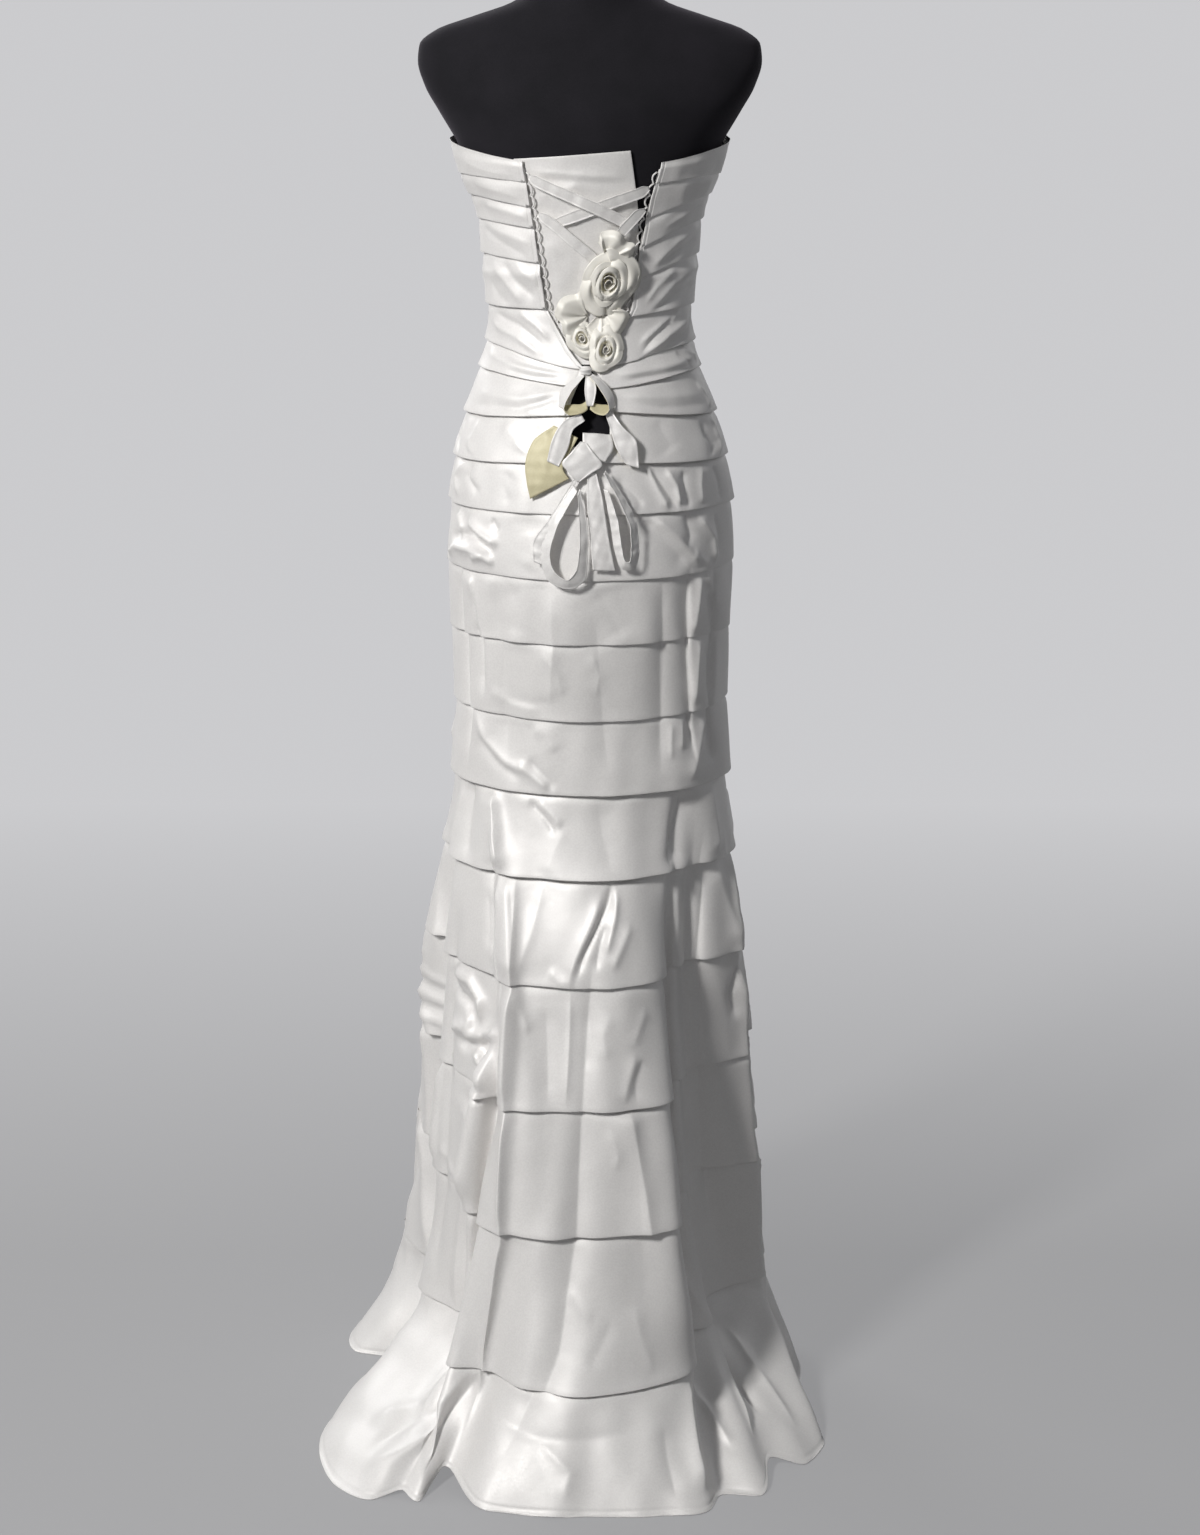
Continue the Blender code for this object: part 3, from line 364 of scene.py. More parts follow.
        (-2.2, 12, 12, ((-1.1, 0.15), (-1.0, 0.55), (-0.95, 0.95))),
        (8.0, 5, 7, ((-7.9, 0.1), (-7.3, 0.15), (-6.8, 0.3), (-6.9, 0.5))),
        (-6.5, 5, 5, ((-7.8, 0.25), (-7.3, 0.35), (-7.1, 0.5))),
        (7.0, 5, 6, ((-7.2, 0.35), (-7.2, 0.55), (-7.7, 0.65))),
        (8.5, 6, 5, ((-7.4, 0.65), (-6.7, 0.6), (-4.0, 0.45))),
        (-6.5, 6, 5, ((-7.5, 0.75), (-6.8, 0.7), (-5.0, 0.6))),
        (6.5, 5, 6, ((-7.0, 0.7), (-6.0, 0.9), (-5.5, 1.0))),
        (-5.5, 4, 4, ((-6.8, 0.7), (-5.3, 0.85), (-4.6, 1.0))),
        (3.0, 9, 8, ((1.1, 0.55), (0.9, 0.75), (0.75, 0.95))),
        (-2.2, 9, 7, ((1.3, 0.6), (1.05, 0.8), (1.05, 0.95))),
        (1.6, 7, 7, ((1.4, 0.2), (1.2, 0.35), (1.0, 0.5))),
        (-1.4, 8, 8, ((0.1, 0.15), (0.2, 0.45), (0.1, 0.7))),
        (1.4, 8, 8, ((0.6, 0.2), (0.4, 0.4), (0.5, 0.6))),
        (-4.6, 5, 5, ((6.9, 0.05), (6.6, 0.4), (6.7, 0.65))),
        (4.6, 5, 5, ((7.1, 0.1), (6.9, 0.4), (7.0, 0.8))),
        (2.6, 4, 4, ((-10.6, 0.4), (-10.0, 0.45), (-9.2, 0.5))),
        (-3.0, 4, 4, ((-10.6, 0.5), (-10.0, 0.55), (-9.2, 0.55))),
        (3.0, 4, 4, ((-10.6, 0.6), (-10.0, 0.65), (-9.2, 0.7))),
        (-3.0, 4, 4, ((-10.6, 0.7), (-10.0, 0.75), (-9.2, 0.75))),
        (3.0, 4, 4, ((-10.6, 0.85), (-10.0, 0.85), (-9.2, 0.9))),
    ),
    "skirt_tier_11": (
        (3.0, 2.5, 2.5, ((-2.2, 0.0), (-2.15, 0.5), (-2.1, 1.0))),
        (7.0, 12, 22, ((0.8, -0.2), (1.0, 0.3), (1.2, 0.7), (1.4, 1.3))),
        (1.3, 6, 6, ((0.5, 0.15), (0.65, 0.35), (0.6, 0.5))),
        (7.0, 3, 12, ((-8.1, 0.0), (-8.0, 0.5), (-7.9, 1.0))),
        (8.0, 8, 14, ((-6.9, 0.2), (-6.7, 0.6), (-6.6, 1.0))),
        (2.2, 6, 6, ((-7.8, 0.75), (-7.3, 0.9), (-7.0, 0.95))),
        (-2.2, 8, 8, ((7.0, 0.05), (7.1, 0.5), (7.0, 0.9))),
        (2.6, 8, 8, ((7.4, 0.05), (7.4, 0.5), (7.4, 0.9))),
    ),
    "skirt_tier_12": (
        (2.5, 4, 9, ((-2.1, 0.0), (-2.05, 0.5), (-2.0, 1.0))),
        (1.5, 6, 6, ((-0.3, 0.35), (0.0, 0.45), (0.2, 0.55))),
        (-1.5, 8, 8, ((0.5, 0.55), (0.3, 0.7), (0.1, 0.85))),
        (1.6, 10, 10, ((0.8, 0.45), (0.9, 0.7), (1.1, 0.95))),
        (3.0, 5, 5, ((-7.0, 0.0), (-7.1, 0.5), (-7.0, 1.0))),
        (-3.0, 5, 5, ((-6.7, 0.0), (-6.7, 0.5), (-6.5, 1.0))),
        (2.6, 5, 5, ((-6.0, 0.0), (-5.9, 0.5), (-6.0, 1.0))),
        (-2.4, 8, 8, ((-8.6, 0.1), (-8.9, 0.5), (-9.3, 0.9))),
        (3.0, 3, 12, ((2.4, 0.0), (3.2, 0.5), (4.0, 1.0))),
    ),
    "skirt_tier_13": (
        (-9.0, 10, 12, ((-2.0, 0.05), (-2.5, 0.45), (-3.2, 0.85))),
        (7.0, 7, 8, ((-2.3, 0.05), (-3.1, 0.4), (-4.2, 0.7), (-5.8, 0.9))),
        (-5.0, 6, 6, ((-3.6, 0.15), (-4.8, 0.5), (-6.2, 0.8))),
        (5.0, 6, 6, ((-4.2, 0.1), (-5.4, 0.5), (-6.8, 0.75))),
        (-2.0, 8, 8, ((-1.6, 0.35), (-0.5, 0.4), (0.8, 0.35))),
        (2.0, 8, 8, ((-0.6, 0.4), (-0.2, 0.65), (-0.3, 0.9))),
        (7.0, 5, 12, ((1.9, 0.05), (1.8, 0.25), (1.9, 0.6), (2.1, 0.9))),
        (-6.0, 8, 6, ((2.3, 0.1), (2.4, 0.4), (2.9, 0.7))),
        (4.0, 6, 6, ((2.9, 0.35), (3.4, 0.55), (3.7, 0.75))),
        (5.0, 7, 7, ((4.5, 0.0), (4.4, 0.4), (4.5, 0.8))),
        (-5.0, 7, 7, ((4.8, 0.35), (5.0, 0.6), (5.2, 0.8))),
        (4.0, 8, 8, ((5.6, 0.3), (5.9, 0.6), (6.2, 0.85))),
        (-2.4, 10, 10, ((1.2, 0.35), (1.2, 0.6), (1.3, 0.9))),
        (3.0, 9, 9, ((-8.5, 0.5), (-8.3, 0.7), (-8.0, 0.85))),
    ),
}

# Folds that run on through the fitted tiers: depth and widths in mm, then angles and heights.
BODY_FOLDS = (
    (-5.0, 2, 9, ((-64, 0.985), (-63, 0.900), (-61, 0.820), (-61, 0.745))),
    (-4.4, 2, 8, ((-54, 0.960), (-51, 0.900), (-50, 0.830))),
    (2.6, 9, 9, ((-16, 0.965), (-15, 0.900), (-17, 0.820))),
    (-2.2, 16, 14, ((2, 0.940), (5, 0.820), (8, 0.745))),
    (-4.4, 10, 16, ((30, 0.985), (31, 0.900), (31, 0.820), (30, 0.745))),
    (-3.4, 10, 12, ((-42, 0.985), (-40, 0.900), (-38, 0.820), (-36, 0.760))),
    (-4.6, 2, 11, ((43, 0.985), (44, 0.900), (46, 0.830), (48, 0.750))),
    (-3.8, 3, 6, ((60, 0.985), (61, 0.900), (60, 0.830), (62, 0.750))),
)

# Folds that run on through the trumpet skirt's tiers and the train: depth and widths in mm, then fold
# line numbers and heights.
SKIRT_FOLDS = (
    (-10, 20, 28, ((0.3, 0.62), (0.1, 0.50), (0.0, 0.40), (-0.1, 0.27), (-0.4, 0.15), (-1.0, 0.05),
                   (-1.4, 0.00))),
    (10, 5, 15, ((-2.6, 0.66), (-2.3, 0.54), (-2.15, 0.40), (-2.05, 0.26), (-2.0, 0.10), (-2.1, 0.02))),
    (-12, 11, 16, ((2.6, 0.66), (2.8, 0.54), (2.9, 0.40), (2.9, 0.26), (2.8, 0.10), (2.6, 0.02))),
    (8, 13, 16, ((-4.4, 0.72), (-4.4, 0.64), (-4.3, 0.55), (-4.2, 0.46))),
    (-7, 12, 14, ((-5.3, 0.70), (-5.4, 0.60), (-5.3, 0.50), (-5.0, 0.42))),
    (15, 5, 16, ((-4.7, 0.46), (-4.95, 0.40), (-5.0, 0.33), (-5.0, 0.27))),
    (-13, 7, 7, ((-4.1, 0.44), (-4.05, 0.36), (-4.0, 0.28), (-4.0, 0.16))),
    (-18, 9, 9, ((-6.0, 0.44), (-6.0, 0.36), (-6.0, 0.26), (-6.0, 0.14))),
    (-8, 8, 14, ((-7.6, 0.62), (-7.7, 0.54), (-7.7, 0.40), (-7.6, 0.26), (-7.5, 0.12))),
    (7, 6, 8, ((-6.9, 0.46), (-6.8, 0.40), (-6.6, 0.26), (-6.4, 0.12), (-6.0, 0.04))),
    (8, 6, 10, ((6.6, 0.70), (6.8, 0.54), (6.9, 0.40), (7.0, 0.26), (7.0, 0.12))),
    (-7, 12, 12, ((5.6, 0.70), (5.7, 0.54), (5.8, 0.40), (5.9, 0.26), (5.9, 0.14))),
    (9, 10, 14, ((9.0, 0.62), (9.2, 0.45), (9.2, 0.28), (9.1, 0.10), (9.0, 0.02))),
    (-9, 14, 14, ((10.6, 0.60), (10.6, 0.40), (10.7, 0.22), (10.7, 0.08))),
    (10, 12, 12, ((12.2, 0.60), (12.1, 0.42), (12.1, 0.22), (12.0, 0.04))),
    (-9, 14, 16, ((13.1, 0.64), (13.1, 0.42), (13.0, 0.24), (13.0, 0.06))),
    (9, 12, 12, ((-12.6, 0.58), (-12.7, 0.42), (-12.7, 0.24), (-12.6, 0.06))),
    (-8, 12, 16, ((-11.3, 0.60), (-11.2, 0.42), (-11.3, 0.22), (-11.2, 0.06))),
    (8, 9, 12, ((-10.0, 0.62), (-10.1, 0.44), (-10.0, 0.24), (-10.0, 0.06))),
)

# Creases of the hidden sides: how many a tier has, where they may lie, and the range of their depth
# and width in mm.
HIDDEN_CREASES = {"open": (8, (95, 265), (0.9, 2.2), (4, 8)), "round": (7, (92, 268), (1.0, 2.8), (5, 11)),
                  "folded": (9, (8.2, 16.8), (1.6, 4.2), (7, 14))}


# --- curves and outlines, over whole arrays -------------------------------------------------------

def rows_at(keys, rows, key):
    """Rows of a table at an array of keys, by a monotone cubic through every row."""
    keys = np.asarray(keys, float)
    rows = np.asarray(rows, float)
    shape = (-1,) + (1,) * (rows.ndim - 1)
    step = np.diff(keys).reshape(shape)
    slope = np.diff(rows, axis=0) / step
    tangent = np.zeros_like(rows)
    tangent[0], tangent[-1] = slope[0], slope[-1]
    before, after = slope[:-1], slope[1:]
    weight_before = 2 * step[1:] + step[:-1]
    weight_after = step[1:] + 2 * step[:-1]
    rising = before * after > 0
    safe_before = np.where(rising, before, 1.0)
    safe_after = np.where(rising, after, 1.0)
    mean = (weight_before + weight_after) / (weight_before / safe_before + weight_after / safe_after)
    tangent[1:-1] = np.where(rising, mean, 0.0)
    key = np.asarray(key, float)
    k = np.clip(np.searchsorted(keys, key) - 1, 0, len(keys) - 2)
    width = keys[k + 1] - keys[k]
    t = np.clip((key - keys[k]) / width, 0.0, 1.0)
    spread = (...,) + (None,) * (rows.ndim - 1)
    t, width = t[spread], width[spread]
    return (rows[k] * (1 + 2 * t) * (1 - t) ** 2 + tangent[k] * width * t * (1 - t) ** 2
            + rows[k + 1] * t * t * (3 - 2 * t) + tangent[k + 1] * width * t * t * (t - 1))


def table(rows, key):
    """Rows of a table whose first column is the key, at an array of keys."""
    rows = np.asarray(rows, float)
    return rows_at(rows[:, 0], rows[:, 1:], key)


def unit(vectors):
    """The vectors at length 1."""
    return vectors / np.maximum(np.linalg.norm(vectors, axis=-1, keepdims=True), 1e-12)


def smoothstep(low, high, value):
    """0 up to low and 1 from high on, with a soft passage between."""
    t = np.clip((value - low) / (high - low), 0.0, 1.0)
    return t * t * (3 - 2 * t)


def figure_points(angles, heights, rows=FIGURE):
    """Points in plan and their outward normals, for arrays of angles in radians and of heights."""
    size = table(rows, heights)
    half_width, back, front = size[..., 0], size[..., 1], size[..., 2]
    across, along = np.sin(angles), np.cos(angles)
    depth = np.where(along > 0, back, front)
    points = np.stack([half_width * across, -depth * along], -1)
    return points, unit(np.stack([depth * across, -half_width * along], -1))


KNEE_ANGLES = np.radians([row[0] for row in FOLD_LINES])
LINE_COUNT = len(FOLD_LINES)
FOLD_TABLE = np.array([row[4:0:-1] for row in FOLD_LINES]).transpose(1, 0, 2)
FLOOR_RISES = np.array([row[5] for row in FOLD_LINES])
# Between which of its knots the skirt's curve is blended, in three rounds.
BLENDS = (((0, 1), (1, 2), (2, 3)), ((0, 2), (1, 3)), ((1, 2),))


def fold_points(q, heights):
    """Points in plan on the trumpet skirt. q counts fold lines and wraps round."""
    knee = figure_points(KNEE_ANGLES, np.full(LINE_COUNT, KNEE))[0]
    thigh = figure_points(KNEE_ANGLES, np.full(LINE_COUNT, THIGH))[0]
    stack = np.concatenate([FOLD_TABLE, [knee, thigh]])
    low = rows_at(FOLD_HEIGHTS + (KNEE, THIGH), stack, np.minimum(heights, KNEE))
    high = figure_points(KNEE_ANGLES, np.maximum(heights, KNEE)[..., None])[0]
    lines = np.where((heights < KNEE)[..., None, None], low, high)
    index = np.floor(q).astype(int)
    share = (q - index)[..., None]
    corners = [np.take_along_axis(lines, ((index + k) % LINE_COUNT)[..., None, None], axis=-2)[..., 0, :]
               for k in (-1, 0, 1, 2)]
    knots = [np.zeros_like(share)]
    for first, second in zip(corners, corners[1:]):
        knots.append(knots[-1] + np.sqrt(np.linalg.norm(second - first, axis=-1, keepdims=True)))
    t = knots[1] + share * (knots[2] - knots[1])
    for spans in BLENDS:
        corners = [((knots[hi] - t) * first + (t - knots[lo]) * second) / (knots[hi] - knots[lo])
                   for first, second, (lo, hi) in zip(corners, corners[1:], spans)]
    return corners[0]


def fold_outline(q, heights):
    """Points and outward normals in plan on the trumpet skirt."""
    step = 0.02
    points = fold_points(q, heights)
    tangent = unit(fold_points(q + step, heights) - fold_points(q - step, heights))
    return points, np.stack([tangent[..., 1], -tangent[..., 0]], -1)


def outline(columns, q, heights):
    """Points and outward normals in plan for a kind of tier."""
    if columns == "folded":
        return fold_outline(q, heights)
    return figure_points(np.radians(q), heights)


def back_edges(heights):
    """The x of the opening's left and right edge."""
    rows = np.array(BACK_EDGES)
    return (np.interp(heights, rows[:, 0], rows[:, 1]), np.interp(heights, rows[:, 0], rows[:, 2]))


def on_figure(x, z, lift=0.0):
    """Points of the figure's back at x and z, moved out by lift, and the surface normals there."""
    x, z = np.broadcast_arrays(np.asarray(x, float), np.asarray(z, float))
    half_width = table(FIGURE, z)[..., 0]
    angle = np.arcsin(np.clip(x / half_width, -0.999, 0.999))
    step = 0.002
    (place, normal), (above, _) = figure_points(angle, z), figure_points(angle, z + step)
    upward = np.concatenate([above - place, np.full(place.shape[:-1] + (1,), step)], -1)
    around = np.stack([-normal[..., 1], normal[..., 0], np.zeros_like(x)], -1)
    outward = unit(np.cross(around, upward))
    lift = np.asarray(lift, float)
    return lifted(place, z) + outward * lift[..., None], outward


def hem_heights(tier, columns, q):
    """Height of a tier's hem at places round another kind of tier."""
    _, own_columns, side, back_left, back_right, _ = tier
    if columns == "folded":
        index = np.floor(q).astype(int) % LINE_COUNT
        turn = (KNEE_ANGLES[(index + 1) % LINE_COUNT] - KNEE_ANGLES[index]) % (2 * math.pi)
        angle = KNEE_ANGLES[index] + (q - np.floor(q)) * turn
    else:
        angle = np.radians(q)
    right = smoothstep(-0.15, 0.15, np.sin(angle))
    back = back_left + (back_right - back_left) * right
    return side + (back - side) * ((1 + np.cos(angle)) / 2) ** HEM_DIP[own_columns]


# --- creases --------------------------------------------------------------------------------------

def line_shape(along, z, points, near_side, far_side):
    """A soft line of height 1 along a chain of (distance round, z) points, one width to each side."""
    best = np.full(along.shape, 1e9)
    result = np.zeros(along.shape)
    lengths = [math.dist(a, b) for a, b in zip(points, points[1:])]
    total, done = sum(lengths), 0.0
    for (a, b), length in zip(zip(points, points[1:]), lengths):
        direction = ((b[0] - a[0]) / length, (b[1] - a[1]) / length)
        forward = (along - a[0]) * direction[0] + (z - a[1]) * direction[1]
        sideways = (along - a[0]) * direction[1] - (z - a[1]) * direction[0]
        inside = np.clip(forward, 0.0, length)
        distance = np.hypot(forward - inside, sideways)
        width = np.where(sideways > 0, far_side, near_side)
        share = (done + inside) / total
        fade = smoothstep(0.0, CREASE_FADE, share) * smoothstep(0.0, CREASE_FADE, 1 - share)
        height = np.exp(-(distance / width) ** CREASE_SHARPNESS) * fade
        result = np.where(distance < best, height, result)
        best = np.minimum(best, distance)
        done += length
    return result


def soft_noise(points, seed, sizes, waves=22):
    """Smooth unevenness of about 1, from waves of the sizes given, in metres."""
    rng = np.random.default_rng(seed)
    total = np.zeros(points.shape[:-1])
    for _ in range(waves):
        direction = unit(rng.normal(size=3))
        length = rng.uniform(*sizes)
        total += np.sin(points @ direction * (2 * math.pi / length) + rng.uniform(0, 2 * math.pi))
    return total / math.sqrt(waves)


# --- satin shells of the tiers --------------------------------------------------------------------

def new_object(name, points, faces):
    """A smooth-shaded object made of points and of faces that all have the same number of corners."""
    mesh = bpy.data.meshes.new(name)
    mesh.vertices.add(len(points))
    mesh.vertices.foreach_set("co", np.ascontiguousarray(points, dtype=np.float32).ravel())
    faces = np.ascontiguousarray(faces, dtype=np.int32)
    corners = faces.shape[1]
    mesh.loops.add(faces.size)
    mesh.loops.foreach_set("vertex_index", faces.ravel())
    mesh.polygons.add(len(faces))
    mesh.polygons.foreach_set("loop_start", np.arange(0, faces.size, corners, dtype=np.int32))
    mesh.update(calc_edges=True)
    mesh.validate()
    mesh.shade_smooth()
    made = bpy.data.objects.new(name, mesh)
    bpy.context.collection.objects.link(made)
    return made


def grid_faces(rows, columns, closed):
    """Quads of a grid whose rows run down and columns run round, facing out."""
    r, c = np.meshgrid(np.arange(rows - 1), np.arange(columns if closed else columns - 1), indexing="ij")
    after = (c + 1) % columns
    corners = [r * columns + c, (r + 1) * columns + c, (r + 1) * columns + after, r * columns + after]
    return np.stack(corners, -1).reshape(-1, 4)


def grid_normals(grid, closed):
    """Normals of a grid of points, facing out."""
    if closed:
        around = np.roll(grid, -1, 1) - np.roll(grid, 1, 1)
    else:
        around = np.gradient(grid, axis=1)
    down = np.gradient(grid, axis=0)
    return unit(np.cross(down, around))


def turned_rows(grid, normals, away, radius, inside_rows):
    """Rows that roll a grid's last row under: round a soft edge, then back along the rows given."""
    last, normal = grid[-1], normals[-1]
    rows = [last + normal * (radius * (math.cos(angle) - 1)) + away * (radius * math.sin(angle))
            for angle in np.radians(HEM_ROLL)]
    rows += [grid[row] - normals[row] * (2 * radius) for row in inside_rows]
    return np.array(rows)


def crowded(share, amount):
    """Shares from 0 to 1 moved towards both ends."""
    return share - amount * np.sin(2 * math.pi * share) / (2 * math.pi)


def closed_columns(count, half):
    """Places right round from -half to half, crowded towards the centre back."""
    turn = np.linspace(-1, 1, count, endpoint=False)
    return half * (turn - 0.38 * np.sin(math.pi * turn) / math.pi)


def open_columns(count, heights):
    """Angles of an open tier's columns, from the opening's right edge round to its left edge."""
    half_width = table(FIGURE, heights)[..., 0]
    left, right = back_edges(heights)
    first = np.degrees(np.arcsin(right / half_width))
    last = 360 + np.degrees(np.arcsin(left / half_width))
    share = crowded(np.linspace(0, 1, count), EDGE_CROWDING)
    return first[..., None] + (last - first)[..., None] * share


def distance_round(grid, q, closed):
    """Distance along each row, from the centre back, or from the nearer edge of the opening."""
    steps = np.linalg.norm(np.diff(grid, axis=1), axis=-1)
    along = np.concatenate([np.zeros((len(grid), 1)), np.cumsum(steps, 1)], 1)
    if closed:
        middle = np.argmin(np.abs(q), axis=1)
        return along - np.take_along_axis(along, middle[:, None], 1)
    return np.where(q < 180, along, along - along[:, -1:])


def within(at, q, closed):
    """A place brought into the range of a tier's columns."""
    if closed:
        half = -q[0, 0]
        return (at + half) % (2 * half) - half
    return at + 360 if at < 0 else at


def place_points(points, q, z, along, closed):
    """Points (q, z) as (distance round, z), from the row nearest to each, without a jump at the seam."""
    heights = z.mean(axis=1)
    placed = []
    for at, height in points:
        row = int(np.argmin(np.abs(heights - height)))
        girth = along[row, -1] - along[row, 0]
        distance = float(np.interp(within(at, q, closed), q[row], along[row]))
        if closed and placed and abs(distance - placed[-1][0]) > girth / 2:
            distance += girth if distance < placed[-1][0] else -girth
        placed.append((distance, height))
    return placed


def crease_shape(points, near_side, far_side, q, z, along, closed):
    """The line's shape, and its other part where it runs across the centre front."""
    placed = place_points(points, q, z, along, closed)
    girth = (along[:, -1] - along[:, 0])[:, None]
    turns = (0.0, girth, -girth) if closed else (0.0,)
    return sum(line_shape(along + turn, z, placed, near_side * MM, far_side * MM) for turn in turns)


def hidden_creases(columns, seed):
    """Creases like the others for the sides that the table leaves out, as uneven as those."""
    count, (first, last), depths, widths = HIDDEN_CREASES[columns]
    rng = np.random.default_rng(1000 + seed)
    rows = []
    for step in range(count):
        middle = first + (last - first) * (step + rng.uniform(0.2, 0.8)) / count
        lean = (last - first) / count * rng.uniform(-0.9, 0.9)
        start, stop = rng.uniform(0.0, 0.35), rng.uniform(0.6, 1.0)
        depth = rng.uniform(*depths) * (1 if rng.random() < 0.5 else -1)
        near_side, far_side = rng.uniform(*widths, 2)
        bend = rng.uniform(-0.2, 0.2)
        points = ((middle - lean / 2, start), (middle + lean * bend, (start + stop) / 2),
                  (middle + lean / 2, stop))
        rows.append((depth, near_side, far_side, points))
    return rows


def crease_depth(name, columns, seed, grid, q, z, visible):
    """How far each point of a tier is moved out by its own creases and by the long folds."""
    closed = columns != "open"
    along = distance_round(grid, q, closed)
    own, shared = np.zeros(z.shape), np.zeros(z.shape)
    for depth, near_side, far_side, points in CREASES[name] + tuple(hidden_creases(columns, seed)):
        at_height = []
        for at, share in points:
            start, stop = (np.interp(within(at, q, closed), q[0], edge) for edge in visible)
            at_height.append((at, start + (stop - start) * share))
        own += (CREASE_GAIN[columns] * depth * MM
                * crease_shape(at_height, near_side, far_side, q, z, along, closed))
    for depth, near_side, far_side, points in SKIRT_FOLDS if columns == "folded" else BODY_FOLDS:
        shared += depth * MM * crease_shape(points, near_side, far_side, q, z, along, closed)
    return own, shared


def seam_depth(distance, seam):
    """Depth of the shallow groove of a line of stitches at a distance from an edge."""
    place, width, depth = seam
    return depth * np.exp(-((distance - place) / width) ** 2)


def length_along(grid, axis):
    """Lengths of a grid's columns for axis 0, or of its rows for axis 1."""
    return np.linalg.norm(np.diff(grid, axis=axis), axis=-1).sum(axis=axis)


def upright(normal):
    """Normals in plan as level normals in space."""
    return np.concatenate([normal, np.zeros(normal.shape[:-1] + (1,))], -1)


def lifted(plan, z):
    """Points in plan at their heights."""
    return np.concatenate([plan, z[..., None]], -1)


def shell(grid, closed):
    """A grid of points with its hem turned under, and the side edges too where it isn't closed."""
    normals = grid_normals(grid, closed)
    rows = len(grid)
    drop = length_along(grid, 0).mean()
    inside = [max(int(rows - 1 - rows * share * HEM_TURN / drop), 1) for share in HEM_LAYERS]
    downward = unit(grid[-1] - grid[-2])
    full = np.concatenate([grid, turned_rows(grid, normals, downward, HEM_RADIUS, inside)])
    if closed:
        return full
    columns = full.transpose(1, 0, 2)
    side_normals = grid_normals(full, False).transpose(1, 0, 2)
    strips = []
    for edge, edge_normals in ((columns[::-1], side_normals[::-1]), (columns, side_normals)):
        outward = unit(edge[-1] - edge[-2])
        back = [len(edge) - 1 - step for step in EDGE_LAYERS]
        strips.append(turned_rows(edge, edge_normals, outward, HEM_RADIUS, back))
    return np.concatenate([strips[0][::-1], columns, strips[1]]).transpose(1, 0, 2)


def hidden_top(below_top):
    """1 on the hidden top of a tier, falling to 0 a little below the hem that covers it."""
    return 1 - smoothstep(COVERED, 1.6 * OVERLAP, below_top)


def finish_tier(name, full, closed):
    """The tier's piece, made from its grid and given its finish."""
    rows, columns = full.shape[:2]
    piece = new_object(f"{name}_satin", full.reshape(-1, 3), grid_faces(rows, columns, closed))
    finish_cloth(piece, name)


def build_tier(above, tier, seed):
    """The satin shell of one tier, with its hem turned under and its creases."""
    name, columns, side, _, _, stand_off = tier
    count, rows = GRID[columns]
    closed = columns != "open"
    reach = 0.0 if above[0] == "neckline" else OVERLAP
    share = np.linspace(0, 1, rows) ** 0.92
    if closed:
        half = LINE_COUNT / 2 if columns == "folded" else 180
        q = np.broadcast_to(closed_columns(count, half), (rows, count))
        top = hem_heights(above, columns, q[0]) + reach
        hem = hem_heights(tier, columns, q[0])
        z = top + (hem - top) * share[:, None]
    else:
        q = open_columns(count, np.full(rows, side))
        for _ in range(3):
            top = hem_heights(above, columns, q[0]) + reach
            hem = hem_heights(tier, columns, q[-1])
            z = top + (hem - top) * share[:, None]
            first = open_columns(2, z[:, 0])[:, 0]
            last = open_columns(2, z[:, -1])[:, 1]
            across = crowded(np.linspace(0, 1, count), EDGE_CROWDING)
            q = first[:, None] + (last - first)[:, None] * across
    above_hem = z - hem
    below_top = top - z
    shown = top - hem - OVERLAP
    lift = (WALL + GAP) * smoothstep(0.0, 1.0, below_top / np.maximum(shown, 0.004))
    flare = np.clip(1 - above_hem / np.maximum(shown, OVERLAP), 0, 1) ** 1.1
    lift = lift + (stand_off - WALL - GAP) * flare
    if reach:
        lift = lift - TUCK[columns] * hidden_top(below_top)
    place, normal = outline(columns, q, z)
    base, outward = lifted(place, z), upright(normal)
    grid = base + outward * (lift + WALL)[..., None]
    own, shared = crease_depth(name, columns, seed, grid, q, z, (top - reach, hem))
    free = smoothstep(COVERED, COVERED + OVERLAP, below_top) if reach else 1.0
    noise = NOISE_DEPTH[columns] * soft_noise(base * HANGING, seed, NOISE_SIZES[columns])
    near_hem = np.clip(1 - above_hem / HEM_WAVE_HEIGHT, 0, 1) ** 2
    hem_wave = HEM_WAVE * (1 + soft_noise(base, seed + 50, HEM_WAVE_SIZES)) * near_hem
    # Over the top of the tier below, creases go in only a little. Higher up they may go further.
    room = -0.9 * (lift - CLEAR) - FREE_DEPTH * smoothstep(OVERLAP + 0.002, OVERLAP + 0.012, above_hem)
    depth = np.maximum((own + noise) * free + hem_wave, room)
    grid = grid + outward * np.maximum(depth + shared, -DEEPEST[columns])[..., None]
    if not closed:
        from_edge = np.abs(distance_round(grid, q, False))
        grid = grid - outward * seam_depth(from_edge, EDGE_SEAM)[..., None]
    finish_tier(name, shell(grid, closed), closed)


